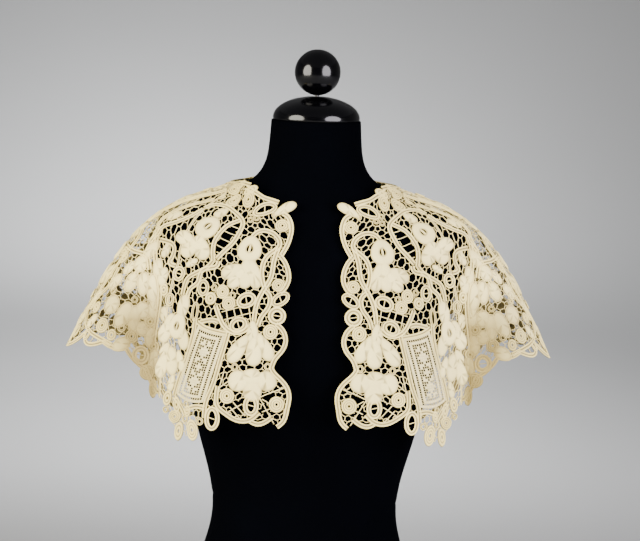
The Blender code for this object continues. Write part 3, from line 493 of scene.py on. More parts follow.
def sweep(pile, path, half_width, height, profile, slot, lift, closed=False, tone=None):
    """Strip along a path of (u, v): at each point the profile's first number goes across, on
    normal x tangent, and its second out along the normal. Open ends close to their middle.
    The strip's own tone times the profile's gives each point's."""
    point, normal, _, _ = surface.read(path)
    if closed:
        tangent = np.roll(point, -1, axis=0) - np.roll(point, 1, axis=0)
    else:
        tangent = np.gradient(point, axis=0)
    across = unit(np.cross(normal, tangent))
    grid = point[:, None] + across[:, None] * profile[None, :, :1] * half_width
    grid = grid + normal[:, None] * (profile[None, :, 1:2] * height + lift)
    run = run_along(np.concatenate([point, point[:1]]) if closed else point)
    uvs = grid_of(run[:, None], np.append(profile[:, 0], profile[0, 0]) * half_width)
    if not closed:
        grid = closed_with_middles(grid)
        uvs = np.concatenate([uvs[:1], uvs, uvs[-1:]])
    tone = CHANCE.uniform(0.8, 1.0) if tone is None else tone
    pile.add(grid[None], uvs, slot, tone * profile[:, 2], ring=closed)
    pile.laid += 2 * half_width * float(run[-1])


def lay_tape(pile, path):
    """A woven tape along a path."""
    sweep(pile, path, TAPE_HALF_WIDTH, TAPE_HEIGHT, TAPE_PROFILE, TAPE, TAPE_LIFT)


def lay_cord(pile, path, half_width, height, lift, closed=False):
    """A thin cord along a path. Its half width and height are in mm."""
    sweep(pile, path, half_width * MM, height * MM, CORD_PROFILE, THREAD, lift, closed)


# %% [markdown]
# ## Petals and discs as plates
#
# The petals are cut from close-woven cloth and drawn into soft domes, and the discs are
# crocheted round and round. All of them are plates: a grid from a centre, or from the edge of
# a hole, out to a rim and back underneath. Only the outline and the swell differ. A ring is a
# tape bent round until it closes.

# %% Lay plates on the surface
PLATE_COLUMNS = 28
PETAL_SHARES = np.array([0.0, 0.2, 0.4, 0.58, 0.74, 0.87, 0.96, 1.0])
UNDER_SHARES = np.array([1.0, 0.55, 0.0])
# The undersides of the plates get a low tone, painted shade
UNDER_TONE = 0.2


def leaf_outline(length, width, taper, columns=PLATE_COLUMNS):
    """Offsets right and up of an outline whose free end is up: up is half the length times
    cosine, right is half the width times sine, wider towards the free end by the taper."""
    turn = np.arange(columns) * 2 * math.pi / columns
    up = length / 2 * np.cos(turn)
    right = width / 2 * np.sin(turn) * (1 + taper * np.cos(turn))
    return np.stack([right, up], axis=-1)


def turned(offsets, lean, hand):
    """Offsets right and up, turned clockwise by the lean, as offsets across and down. Hand is
    -1 where the table is read off the mirrored picture."""
    lean = math.radians(lean)
    right = offsets[..., 0] * math.cos(lean) + offsets[..., 1] * math.sin(lean)
    up = offsets[..., 1] * math.cos(lean) - offsets[..., 0] * math.sin(lean)
    return np.stack([hand * right, -up], axis=-1)


def plate(pile, place, outline, lean, hand, swell, slot, lift, shares=PETAL_SHARES, hole=0.0):
    """Closed plate. swell(s, turn) gives how far its point at share s of the way out from the
    hole is raised, and its tone there. Its underside lies flat at the lift."""
    turn = np.arange(len(outline)) * 2 * math.pi / len(outline)
    spread = outline[None] * (hole + (1 - hole) * np.append(shares, UNDER_SHARES))[:, None, None]
    rise, tone = swell(shares[:, None], turn[None])
    flat = np.zeros((len(UNDER_SHARES), len(outline)))
    grid = surface.lifted(surface.beside(place, turned(spread, lean, hand)),
                          lift + np.concatenate([rise + flat[:1], flat]))
    uvs = np.concatenate([spread, spread[:, :1]], axis=1)
    if hole:
        uvs = np.concatenate([uvs, uvs[:1]])
    tone = np.concatenate([tone + flat[:1], flat + UNDER_TONE]) * CHANCE.uniform(0.88, 1.0)
    pile.add(grid[None], uvs, slot, tone, ring=hole > 0)
    after = np.roll(outline, -1, axis=0)
    area = abs((outline[:, 0] * after[:, 1] - outline[:, 1] * after[:, 0]).sum()) / 2
    pile.laid += area * (1 - hole**2)


# %% Petals, bulbs, crochet and rings, their sizes in mm
PETAL_LIFT, PETAL_RISE = 0.6 * MM, 2.3 * MM
CREASE_DEPTH, CREASE_WIDTH = 0.8 * MM, 0.16
WIDE_DISC, WIDE_RING = 16, 14
RING_BAND, NARROWEST_BAND = 0.29, 2.4


def petal(pile, place, length, width, lean, hand, taper, corded):
    """A cloth petal: a dome that falls steeply at the rim, with creases that fan from its root
    and fade on the way to its free end, drawn as dips where the turn is near theirs."""
    outline = leaf_outline(length * MM, width * MM, taper)
    creases = CHANCE.uniform(0.25, 2.6, 3) * (1, -1, 1)

    def swell(share, turn):
        dome = PETAL_RISE * (1 - share**4) ** 0.6
        away = np.abs((turn[..., None] - creases + math.pi) % (2 * math.pi) - math.pi)
        crease = np.exp(-((away / CREASE_WIDTH) ** 2)).sum(axis=-1) * 4 * share * (1 - share)
        # Painted shade: darker in the creases and at the rim, where the dome falls away
        tone = 1 - 0.85 * np.clip(crease, 0, 1) - 0.7 * share**8
        return dome - CREASE_DEPTH * crease, tone

    plate(pile, place, outline, lean, hand, swell, PETAL, PETAL_LIFT)
    if corded:
        path = surface.beside(place, turned(outline * 1.02, lean, hand))
        lay_cord(pile, path, 0.65, 1.5, PETAL_LIFT, closed=True)


def bulb(pile, place, length, width, lean, hand):
    """A bud with two slits: a domed plate with a narrow eye, and a strip across the eye."""
    outline = leaf_outline(length * MM, width * MM, -0.12)

    def dome(share, turn):
        rise = PETAL_RISE * (1 - share**5) ** 0.7 * (0.7 + 0.3 * np.minimum(1, 3 * share))
        # Painted shade: darker at the rim and round the eye
        return rise, 1 - 0.7 * share**10 - 0.6 * (share < 0.05) + 0 * turn

    def band(share, turn):
        # Painted shade: darker towards the strip's rim
        return 1.8 * MM * (1 - share**4) + 0 * turn, 1 - 0.3 * share + 0 * turn

    plate(pile, place, outline, lean, hand, dome, PETAL, PETAL_LIFT, hole=0.27)
    strip = leaf_outline(length * MM * 0.44, width * MM * 0.10, 0.0)
    plate(pile, place, strip, lean, hand, band, PETAL, PETAL_LIFT)


def crochet(pile, place, length, width, lean, hand):
    """A crocheted disc or leaf with a small eye. Its rounds of stitches are humps, each the
    square root of a sine, with sharp grooves between, darkened by painted shade, and lumpy from stitch
    to stitch."""
    rounds = 3 if width > WIDE_DISC else 2
    outline = leaf_outline(length * MM, width * MM, 0.0, 24)
    shares = np.linspace(0, 1, 4 * rounds + 1)

    def swell(share, turn):
        hump = np.abs(np.sin(math.pi * rounds * share)) ** 0.5
        lumps = 0.14 * MM * np.sin(12 * turn + 5 * share)
        return 0.35 * MM + 1.5 * MM * hump + lumps * hump, 0.15 + 0.85 * hump + 0 * turn

    plate(pile, place, outline, lean, hand, swell, CROCHET, 0.7 * MM, shares, hole=0.14)


def ring(pile, place, length, width, lean, hand):
    """A ring of tape closed on itself, with a thread bar across its eye if that is wide."""
    band = max(NARROWEST_BAND, RING_BAND * min(length, width))
    outline = leaf_outline(length * MM - band * MM, width * MM - band * MM, 0.0, 30)
    path = surface.beside(place, turned(outline, lean, hand))
    sweep(pile, path, band / 2 * MM, 2.0 * MM, TAPE_PROFILE, TAPE, 0.8 * MM, closed=True)
    if min(length, width) > WIDE_RING:
        bar = np.array([(-0.3, 0.05), (0.0, 0.0), (0.3, -0.05)]) * (width * MM, length * MM)
        lay_cord(pile, surface.beside(place, turned(bar, lean, hand)), 0.6, 1.2, 0.8 * MM)


# %% [markdown]
# ## Tables of the motifs
#
# Tables place the motifs: where each is seen, its size in mm, and where its free end points,
# in degrees clockwise from upright. Where a petal is wider at its free end the taper says so.
# The petals gather into flowers, with the bulb as each flower's head.

# %% Petals, bulbs, crochet and rings of the front panel
# Smooth cloth petals: seen at x and y, length, width, lean, taper
FRONT_PETALS = (
    (222, 213, 22, 13, 52, -0.3), (185, 238.5, 30, 18, -78, 0.2), (190, 249, 30, 20, -125, 0.2),
    (202, 249, 31, 21, 160, 0.2), (197, 243, 24, 17, -135, 0.0),
    (233, 271, 32, 19, -112, 0.2), (238, 277.5, 34, 18, -142, 0.2), (246, 273, 42, 19, 180, 0.2),
    (254, 274, 40, 18, 164, 0.2),
    (252.5, 332, 30, 15, 180, 0.2), (254, 350, 42, 20, 180, 0.35), (239, 348, 44, 18, -148, 0.4),
    (264.5, 347, 40, 17, 152, 0.35),
    (252, 378, 24, 28, 0, 0.0), (239, 381, 28, 27, -90, 0.1), (266, 381, 28, 26, 90, 0.1),
    (252.5, 390, 30, 24, 180, 0.1),
    (183.5, 306.5, 32, 18, 8, 0.0), (166, 331, 34, 18, -158, 0.2), (183.5, 338, 32, 17, 165, 0.2),
    (170, 322, 24, 14, 20, 0.0), (172, 361, 38, 21, 175, 0.1), (162, 366, 34, 17, -165, 0.1),
    (181, 361, 30, 13, 160, 0.2), (165, 350, 22, 12, -150, 0.1), (172, 383, 24, 12, -165, 0.1),
    (163, 277, 26, 13, 10, 0.0), (164, 314, 20, 11, 0, 0.0), (167, 250, 22, 12, 15, 0.0),
    (285, 209, 34, 13, 58, 0.3), (192, 263, 20, 9, 60, 0.0),
)
# Bulbs with two slits: seen at x and y, length, width, lean
FRONT_BULBS = ((208.5, 226.5, 35, 30, 42), (250, 249, 36, 31, 6), (177.5, 326, 34, 25, 12))
# Crocheted leaves and discs: seen at x and y, length, width, lean
FRONT_CROCHET = (
    (168, 398, 22, 14, -160), (177.5, 404.5, 22, 13, 172), (175.5, 416.5, 24, 17, -105),
    (179.5, 431, 26, 16, -165), (192.5, 430, 28, 17, 168), (188, 411, 16, 10, 180),
    (235, 190, 25, 18, -60), (234.5, 201.5, 24, 17, -148), (249, 200, 25, 17, 165),
    (242, 185.5, 17, 13, 10), (251, 190.5, 22, 12, 55),
    (211, 298.5, 17, 16, 0), (223, 292, 18, 17, 0), (229, 303.5, 18, 18, 0),
    (278.5, 285.5, 17, 17, 0), (282.5, 226, 19, 17, 90), (227, 396, 20, 19, 0),
    (276.5, 404.5, 21, 20, 0), (270.5, 332, 20, 19, 0), (164, 290, 17, 12, 0),
)
# Rings: seen at x and y, length, width, lean
FRONT_RINGS = (
    (265, 209.5, 32, 18, 66), (179.4, 273.9, 20, 18, 0), (203.8, 288, 22, 17, -12),
    (246.6, 300.4, 26, 20, 65), (170.2, 299.6, 17, 13, 0), (195.7, 312, 24, 10, 0),
    (280.5, 299.5, 26, 17, 55), (277, 316, 23, 23, 0), (238.6, 325, 24, 20, 60),
    (251, 405.5, 27, 20, 0), (212.2, 418.5, 31, 20, 0),
    (214.8, 288, 9, 8, 0), (233.2, 295.6, 9, 8, 0), (251, 220.5, 8, 8, 0), (257, 218.7, 8, 8, 0),
    (252, 214, 8, 8, 0), (274.5, 215.5, 8, 7, 0), (235, 367, 10, 9, 0), (267.7, 366.5, 10, 9, 0),
    (200.2, 421.3, 10, 10, 0), (186, 418.5, 10, 9, 0), (166.5, 409.5, 9, 9, 0),
    (187, 404, 9, 8, 0),
)
print("front:", len(FRONT_PETALS), "petals,", len(FRONT_CROCHET), "discs,", len(FRONT_RINGS), "rings")

# %% Tapes and bars of the front panel
# Tapes: the places that each passes through. The first four are the scalloped front edge
FRONT_TAPES = (
    ((283, 214), (288.5, 218), (291.5, 227), (290.5, 236), (287, 246), (281, 256)),
    ((279, 255), (284.5, 262), (288, 271), (288.5, 280), (285, 288), (280, 293)),
    ((276, 324), (283, 331), (285.5, 342), (281, 352), (275, 359), (271, 369)),
    ((271, 367), (274, 373), (281, 380), (287, 388), (289, 398), (287, 409), (284, 420),
     (277, 427)),
    ((218, 386), (216.5, 397), (217.5, 406), (224, 412.5), (233, 418.5), (242, 421), (251, 419),
     (259, 412)),
    ((250, 421), (257, 424), (265, 422), (272, 417)),
    ((247, 188), (256.5, 193), (264, 198), (273, 201), (279, 203)),
    ((160, 212), (174, 206), (196, 199), (212, 195), (230, 190)),
    ((159, 226), (169, 216), (182, 209.5), (196, 205), (213, 201), (226, 197)),
    ((150, 243), (162, 229), (173, 224), (187, 219), (200, 212), (213, 206), (226, 207),
     (234, 212), (241, 218.5), (243, 225), (239.5, 233), (234, 242), (226, 250), (217, 259)),
    ((213.6, 261), (213.6, 247), (217, 238), (223, 230.5), (230, 225), (240, 221)),
    ((214, 260), (208, 267), (199, 272), (190, 277), (186, 283), (183, 295)),
    ((187.5, 300), (191, 289), (198, 283), (201, 274), (207, 268.5), (216, 267), (219, 261)),
    ((253, 237), (257, 233), (264, 231), (273, 233.5), (279, 240), (279, 247), (271.5, 253),
     (265, 260), (262, 270), (262.5, 280), (265, 289)),
    ((279, 247), (276, 255), (273.5, 264), (271.5, 276), (267, 285), (262, 293), (258, 301),
     (255.5, 310), (254, 321)),
    ((264, 290), (270, 297), (268, 308), (262, 316), (258, 326)),
    ((216, 306), (221, 320), (226, 328), (234, 332.5), (243, 331.5), (250, 326)),
    ((201, 322), (212, 320), (219, 322)),
    ((228.5, 333), (224.5, 347), (220.5, 360), (216, 376), (211, 390), (206, 403), (204.5, 418)),
    ((196, 318), (194, 334), (188, 356), (182.5, 371), (177.5, 386), (175, 396)),
    ((198, 322), (206, 328), (217, 331.5), (228, 334)),
    ((175, 396), (181, 404.5), (186, 415)),
    ((187, 409), (196, 406.5), (205, 408)),
    ((161, 240), (172, 243), (175, 252), (170, 262), (176, 266)),
)
# Bars of the open squares: the places of each bar's ends
FRONT_BARS = (
    ((222, 312), (258, 303)), ((224, 320), (256, 312)), ((226, 327), (232, 325)),
    ((226, 306), (229, 326)), ((233, 305), (236, 318)), ((240, 308), (243, 317)),
    ((249, 306), (251, 322)), ((255, 303), (256, 314)), ((219, 388), (233, 378)),
    ((224, 372), (220, 386)), ((228, 366), (238, 371)), ((230, 407), (240, 419)),
    ((233, 402), (245, 416)), ((228, 412), (242, 404)), ((258, 395), (274, 424)),
    ((254, 400), (284, 388)), ((262, 412), (272, 408)), ((262, 399), (270, 404)),
    ((217, 252), (223, 255)), ((217, 245), (228, 250)), ((220, 238), (232, 243)),
    ((225, 231.5), (237, 236)), ((231, 226), (242, 230)),
)
# Where the random net makes way for those bars: the middle of each circle and its radius in mm
FRONT_BARE = (
    (228, 314, 7.5), (238, 311, 7.0), (246, 312, 7.5), (252, 310, 7.0), (236, 408, 9.0),
    (266, 398, 7.0), (266, 410, 6.0), (226, 238, 6.5), (222, 244, 6.5), (219, 250, 5.5),
    (231, 232, 6.5), (236, 227, 5.5),
)

# %% Motifs of the wing, with the same columns
WING_PETALS = (
    (116.5, 281.5, 24, 15, 40, 0.0), (131.8, 282.5, 27, 17, 10, 0.1), (143.3, 284, 31, 14, 0, 0.1),
    (152.5, 289, 40, 14, 176, 0.1), (112.6, 304.5, 25, 24, 0, 0.0), (124, 315, 35, 20, 22, 0.1),
    (134, 319, 34, 14, 4, 0.1), (143, 310.5, 22, 17, 0, 0.0), (141.5, 264, 23, 18, 0, 0.0),
    (152, 250, 28, 15, 25, 0.0), (175, 216, 22, 13, 60, 0.0), (93, 321, 22, 11, 35, 0.0),
    (150, 337, 26, 13, 10, 0.0), (122, 344, 24, 16, 60, 0.0), (130, 268, 20, 12, 30, 0.0),
    (142, 329, 18, 15, 0, 0.0), (153, 310, 26, 11, 0, 0.0), (153, 358, 26, 12, 10, 0.0),
    (99, 296, 22, 11, 38, 0.0), (158, 268, 24, 12, 0, 0.0),
)
WING_CROCHET = (
    (97.8, 307.4, 17, 14, 20), (103, 325.6, 21, 21, 0), (150, 321.8, 15, 15, 0),
    (125, 258.6, 17, 12, 30), (131.8, 336.5, 18, 17, 0), (147, 372, 21, 20, 0),
    (153, 388, 26, 11, 0), (153.8, 346.7, 15, 15, 0), (112, 335, 16, 14, 0),
)
WING_RINGS = (
    (114.3, 291.4, 8, 8, 0), (146, 302, 8, 8, 0), (78.5, 331, 20, 12, 25),
    (140.4, 355, 24, 23, 0), (88, 335, 15, 12, 20), (160, 232, 14, 14, 0), (135, 300, 9, 9, 0),
    (122, 328, 11, 11, 0),
)
WING_TAPES = (
    ((212, 194), (190, 200), (170, 209), (150, 217), (143, 232), (127, 254), (110, 278),
     (95, 300), (81, 322), (69, 346)),
    ((200, 203), (178, 211), (160, 225), (148, 250), (136, 275), (124, 290)),
    ((158, 236), (156, 262), (160, 290), (157, 318), (153, 345)),
    ((120, 268), (107, 290), (92, 305), (88, 326), (98, 337), (112, 345)),
    ((128, 246), (136, 252), (147, 256), (150, 270)),
)
print("wing:", len(WING_PETALS), "petals,", len(WING_CROCHET), "discs,", len(WING_RINGS), "rings")

# %% Motifs of the wing's ridge and of the back
# Round the wing's ridge: millimetres round from it, share of the way down, then as above
RIDGE_PETALS = (
    (0, 0.24, 28, 18, 180, 0.2), (9, 0.22, 26, 14, 140, 0.2), (0, 0.47, 34, 19, 180, 0.2),
    (11, 0.46, 32, 17, 150, 0.2), (0, 0.71, 36, 20, 180, 0.3), (13, 0.70, 34, 18, 150, 0.3),
    (0, 0.90, 22, 22, 180, 0.1), (9, 0.89, 20, 15, 140, 0.1),
)
RIDGE_BULBS = ((0, 0.37, 28, 24, 0), (0, 0.59, 31, 27, 0))
RIDGE_CROCHET = ((16, 0.83, 18, 18, 0), (20, 0.58, 16, 16, 0), (17, 0.35, 15, 15, 0))
RIDGE_RINGS = ((0, 0.80, 13, 13, 0), (0, 0.12, 13, 13, 0), (22, 0.70, 10, 10, 0))
# The back: millimetres round from its middle, share of the way down, then as above
BACK_PETALS = (
    (0, 0.36, 30, 18, 180, 0.2), (10, 0.37, 30, 17, 155, 0.2), (20, 0.33, 28, 16, 120, 0.2),
    (0, 0.60, 38, 19, 180, 0.3), (15, 0.59, 40, 18, 150, 0.35), (0, 0.76, 22, 28, 0, 0.0),
    (13, 0.77, 28, 26, 90, 0.1), (0, 0.81, 28, 23, 180, 0.1), (52, 0.37, 28, 18, -120, 0.2),
    (60, 0.41, 28, 18, 180, 0.2), (70, 0.38, 28, 18, 140, 0.2), (92, 0.60, 32, 19, 180, 0.1),
    (102, 0.58, 30, 17, 150, 0.1), (83, 0.58, 28, 15, -150, 0.1), (94, 0.80, 30, 19, 180, 0.1),
    (50, 0.72, 32, 19, 180, 0.2), (40, 0.70, 30, 17, -150, 0.2), (60, 0.70, 30, 17, 150, 0.2),
    (128, 0.38, 28, 17, 180, 0.2), (137, 0.36, 26, 15, 150, 0.2), (119, 0.36, 26, 15, -150, 0.2),
    (132, 0.70, 30, 18, 180, 0.2), (142, 0.68, 28, 15, 150, 0.2), (122, 0.68, 28, 15, -150, 0.2),
)
BACK_BULBS = ((0, 0.25, 34, 30, 0), (61, 0.27, 32, 28, 0), (94, 0.47, 30, 24, 0),
              (50, 0.60, 28, 24, 0), (128, 0.27, 28, 24, 0), (132, 0.59, 30, 25, 0))
BACK_CROCHET = (
    (32, 0.20, 16, 16, 0), (28, 0.47, 18, 18, 0), (62, 0.52, 18, 18, 0), (0, 0.94, 19, 19, 0),
    (24, 0.90, 18, 18, 0), (80, 0.70, 17, 17, 0), (72, 0.90, 18, 18, 0), (0, 0.07, 16, 14, 0),
    (48, 0.91, 18, 18, 0), (104, 0.90, 17, 17, 0), (26, 0.68, 16, 16, 0), (88, 0.30, 16, 16, 0),
    (140, 0.50, 17, 17, 0), (118, 0.52, 16, 16, 0), (130, 0.86, 18, 18, 0), (147, 0.84, 16, 16, 0),
    (108, 0.20, 15, 15, 0), (70, 0.12, 15, 15, 0),
)
BACK_RINGS = (
    (30, 0.34, 10, 10, 0), (40, 0.53, 16, 16, 0), (76, 0.52, 14, 14, 0), (32, 0.80, 16, 16, 0),
    (72, 0.78, 14, 14, 0), (20, 0.12, 12, 12, 0), (12, 0.92, 12, 12, 0), (60, 0.92, 12, 12, 0),
    (118, 0.80, 14, 14, 0), (128, 0.15, 13, 13, 0), (88, 0.92, 12, 12, 0), (117, 0.92, 12, 12, 0),
)
BACK_TAPES = (
    ((6, 0.10), (24, 0.16), (42, 0.30), (40, 0.45), (30, 0.56), (34, 0.70), (28, 0.82)),
    ((14, 0.06), (44, 0.16), (74, 0.20), (84, 0.34), (76, 0.48), (70, 0.62), (80, 0.80)),
    ((96, 0.12), (100, 0.30), (112, 0.45), (116, 0.62), (110, 0.85)),
)
print("half of the back:", len(BACK_PETALS), "petals,", len(BACK_CROCHET), "discs")

# %% [markdown]
# ## Share the motifs out to the panels
#
# Front and wing are read off one picture, so a motif goes to the panel that its middle lies
# on, and a tape is cut where it crosses a seam. Each wing's hidden back half mirrors its
# front half about the ridge. The back isn't seen, so it has a plain layout of the same motifs.

# %% Lay a table's motifs
FRONT_MOTIFS = (FRONT_PETALS, FRONT_BULBS, FRONT_CROCHET, FRONT_RINGS)
WING_MOTIFS = (WING_PETALS, (), WING_CROCHET, WING_RINGS)
RIDGE_MOTIFS = (RIDGE_PETALS, RIDGE_BULBS, RIDGE_CROCHET, RIDGE_RINGS)
BACK_MOTIFS = (BACK_PETALS, BACK_BULBS, BACK_CROCHET, BACK_RINGS)
# How each of a table's four kinds is laid, and how much of its size keeps the net away
KINDS = ((petal, 0.40), (bulb, 0.43), (crochet, 0.44), (ring, 0.42))
PAST_FRONT_EDGE = 16 * MM
# Where the wing turns under: below a height, between two distances from the middle
SHADE_TOP, SHADE_OUT, SHADE_IN = 0.520, 0.283, 0.186
SHADE_FADE, SHADE_DEPTH = 0.05, 0.92


def cover(covered, place, length, width, lean, hand, share):
    """Notes circles over a motif, in a row along its length, where the net has to stop."""
    radius = min(length, width) * share * MM
    reach = max(length / 2 * MM * 2 * share - radius, 0)
    row = np.array([(0, -reach), (0, 0), (0, reach)])
    covered += [(spot, radius) for spot in surface.beside(place, turned(row, lean, hand))]


def lay_motifs(pile, covered, tables, place_of, within, hand, corded=False):
    """Lays each motif of the four tables whose place passes the within test."""
    for (lay, share), table in zip(KINDS, tables):
        for x, y, length, width, lean, *taper in table:
            place = place_of((x, y))
            if within(place):
                details = (*taper, corded) if lay is petal else ()
                lay(pile, place, length, width, lean, hand, *details)
                cover(covered, place, length, width, lean, hand, share)


def tape(pile, points, start, end):
    """A tape through (u, v) places, cut to the stretch between two seams."""
    path = even_path(points, TAPE_STEP)
    path = path[(path[:, 0] >= start) & (path[:, 0] <= end)]
    if len(path) > 3:
        lay_tape(pile, path)


def seen_place(seen):
    """(u, v) of one place in the picture."""
    return surface.from_view(seen)[0]


# %% Lay what lies on the front, the wing and the back
def front_pieces(pile, start, end):
    """Lays what lies on the front panel, and returns where the net has to stop."""
    covered = [(seen_place((x, y)), radius * MM) for x, y, radius in FRONT_BARE]

    def within(place):
        return place[0] < end

    lay_motifs(pile, covered, FRONT_MOTIFS, seen_place, within, -1)
    lay_motifs(pile, covered, WING_MOTIFS, seen_place, within, -1)
    for points in FRONT_TAPES + WING_TAPES:
        tape(pile, surface.from_view(points), start - PAST_FRONT_EDGE, end)
    for points in FRONT_BARS:
        lay_cord(pile, even_path(surface.from_view(points), 2.5 * MM), 0.65, 1.3, 0.3 * MM)
    return covered


def wing_pieces(pile, start, end):
    """The wing's motifs twice: as seen in front of the ridge, and mirrored about it."""
    covered = []
    for side in (-1, 1):
        def place_of(seen):
            return seen_place(seen) if side < 0 else (2 * RIDGE_U, 0) + seen_place(seen) * (-1, 1)

        def within(place):
            return start < place[0] < end and (place[0] - RIDGE_U) * side >= 0

        lay_motifs(pile, covered, FRONT_MOTIFS, place_of, within, side)
        lay_motifs(pile, covered, WING_MOTIFS, place_of, within, side, corded=True)
        for points in FRONT_TAPES + WING_TAPES:
            path = surface.from_view(points)
            tape(pile, path if side < 0 else (2 * RIDGE_U, 0) + path * (-1, 1), start, end)

        def ridge_place(spot):
            return np.array([RIDGE_U + side * spot[0] * MM, spot[1]])

        def once(place):
            return side < 0 or place[0] > RIDGE_U + 1 * MM

        lay_motifs(pile, covered, RIDGE_MOTIFS, ridge_place, once, -side)
    return covered


def shade_turned_under(pile):
    """The real wing's lower inner part turns under and is in shade. This surface runs smoothly
    there, so a darker tone stands for that, less by how far a point lies outside that part."""
    for points, tones in zip(pile.points, pile.tones):
        low = np.clip((SHADE_TOP - points[:, 2]) / SHADE_FADE, 0, 1)
        inner = np.clip((SHADE_OUT - points[:, 0]) / SHADE_FADE, 0, 1)
        inner *= np.clip((points[:, 0] - SHADE_IN) / SHADE_FADE * 3, 0, 1)
        tones *= 1 - SHADE_DEPTH * low * inner


def back_pieces(pile, start, end):
    """The back's motifs, mirrored about its middle."""
    covered = []
    middle = surface.length / 2
    for side in (1, -1):
        def place_of(spot):
            return np.array([middle - side * spot[0] * MM, spot[1]])

        def within(place):
            return side > 0 or abs(place[0] - middle) > 1 * MM

        lay_motifs(pile, covered, BACK_MOTIFS, place_of, within, side)
        for points in BACK_TAPES:
            tape(pile, np.array([place_of(point) for point in points]), start, end)
    return covered


# %% [markdown]
# ## Scalloped outlines
#
# A tape runs round the hem of the wings and the back, and bulges between notches like a row
# of scallops. The depth of the edge from the outer line is a half ellipse for each lobe. The
# front's edge and hem are the tapes and rings of its own tables.

# %% Lobes of the hems and the dip of the neckline
# Where each lobe ends, as a share of the hem, and how deep the notch there is in mm
WING_LOBES = ((0.10, 8.0), (0.20, 9.0), (0.29, 7.0), (0.38, 22.0), (0.62, 22.0), (0.71, 7.0),
              (0.80, 9.0), (0.90, 8.0), (1.0, 7.0))
BACK_LOBES = ((0.10, 7.0), (0.20, 8.0), (0.30, 7.0), (0.40, 9.0), (0.60, 9.0), (0.70, 7.0),
              (0.80, 8.0), (0.90, 7.0), (1.0, 7.0))
NECK_DROP, NECK_INSET = 0.040, 0.012
OUTLINE_STEPS = 400


def lobe_depth(rows, share):
    """Depth in metres at each share of an edge: the notch's depth times one less the height of
    a unit half circle over its lobe."""
    ends = np.array([0.0] + [end for end, _ in rows])
    notches = np.array([rows[-1][1]] + [notch for _, notch in rows]) * MM
    k = np.clip(np.searchsorted(ends, share, side="right") - 1, 0, len(rows) - 1)
    t = np.clip((share - ends[k]) / (ends[k + 1] - ends[k]), 0, 1)
    notch = notches[k] * (1 - t) + notches[k + 1] * t
    return notch * (1 - np.sqrt(np.clip(1 - (2 * t - 1) ** 2, 0, 1)))


def neck_dip(u):
    """How far down the neckline lies at each u, as a share of the way to the hem: none up to the
    wing's ridge, then a smooth step down to its full dip at the back panel."""
    near = np.minimum(u, surface.length - u)
    step = np.clip((near - RIDGE_U) / (BACK_VALLEY_U - RIDGE_U), 0, 1)
    return NECK_DROP * step * step * (3 - 2 * step)


# %% Outlines of the panels
def hem_line(start, end, lobes, inset):
    """(u, v) along the hem from start to end, moved up by the lobes' depth and an inset."""
    share = np.linspace(0, 1, OUTLINE_STEPS)
    u = start + share * (end - start)
    _, _, _, down = surface.read(np.stack([u, np.ones_like(u)], axis=-1))
    depth = (lobe_depth(lobes, share) + inset) / np.linalg.norm(down, axis=-1)
    return np.stack([u, 1 - depth], axis=-1)


def side_line(u, inset):
    """(u, v) down one side of a panel from neck to hem, moved along u by an inset."""
    v = np.linspace(neck_dip(u), 1, OUTLINE_STEPS)
    _, _, along, _ = surface.read(np.stack([np.full_like(v, u), v], axis=-1))
    return np.stack([u + inset / np.linalg.norm(along, axis=-1), v], axis=-1)


def panel_loop(start, end, lobes, inset):
    """The closed (u, v) outline of a wing's or the back's net, with every second point kept."""
    first = side_line(start, inset)
    hem = hem_line(start, end, lobes, inset)
    second = side_line(end, -inset)
    first, second = first[first[:, 1] < hem[0, 1]], second[second[:, 1] < hem[-1, 1]]
    along_neck = np.linspace(end, start, 80)
    neck = np.stack([along_neck, neck_dip(along_neck)], axis=-1)
    return np.concatenate([first, hem, second[::-1], neck[1:-1]])[::2]


# Where the front's net ends, seen down its scalloped edge and back along its hem
FRONT_NET_EDGE = (
    (262, 196), (273, 202), (283, 209), (288, 218), (290.5, 227), (289.5, 236), (286, 246),
    (280.5, 255.5), (284, 263), (287, 271), (287.5, 280), (284.5, 288), (281, 293), (283, 300),
    (280, 308), (283, 316), (279, 324), (283, 333), (284, 344), (279.5, 353), (273, 360),
    (270.5, 368), (274, 374), (280.5, 381), (286, 389), (287.5, 398), (286, 409), (283, 419),
    (277, 424), (270, 417), (262, 421), (254, 420), (242, 420), (233, 417.5), (225, 412),
    (219, 408), (217, 420), (212, 424), (207, 420), (203, 414), (198, 420), (195, 433), (187, 436),
    (179, 434), (173, 424), (170, 412), (162, 400),
)


def front_net_loop(end):
    """The closed (u, v) outline of the front's net: its seen edge, then up the seam."""
    edge = surface.from_view(FRONT_NET_EDGE)
    seam = side_line(end, 0.0)[::-4]
    seam = seam[seam[:, 1] < edge[-1, 1]]
    return np.concatenate([edge, seam])


# %% Border tapes and seam cords
def smoothed(line, reach):
    """A line averaged over a few neighbours, its ends kept."""
    kernel = np.hanning(2 * reach + 3)[1:-1]
    kernel /= kernel.sum()
    padded = np.pad(line, ((reach, reach), (0, 0)), mode="edge")
    return np.stack([np.convolve(padded[:, k], kernel, mode="valid") for k in (0, 1)], axis=-1)


def border_tape(pile, line, reach=5):
    """A tape along a line whose corners are first rounded."""
    lay_tape(pile, respaced(smoothed(line, reach), TAPE_STEP))


def seam_cord(pile, line):
    """The thin cord along each side of a seam."""
    lay_cord(pile, respaced(line, 3.0 * MM), 0.7, 1.4, 0.3 * MM)


def inside(loop, points):
    """Which points lie in a closed loop, by counting the sides that a ray crosses."""
    x1, y1 = loop[:, 0], loop[:, 1]
    x2, y2 = np.roll(x1, -1), np.roll(y1, -1)
    px, py = points[:, 0:1], points[:, 1:2]
    spans = (y1 > py) != (y2 > py)
    rise = np.where(y2 == y1, 1e-12, y2 - y1)
    return ((spans & (px < x1 + (py - y1) / rise * (x2 - x1))).sum(axis=1) % 2) == 1


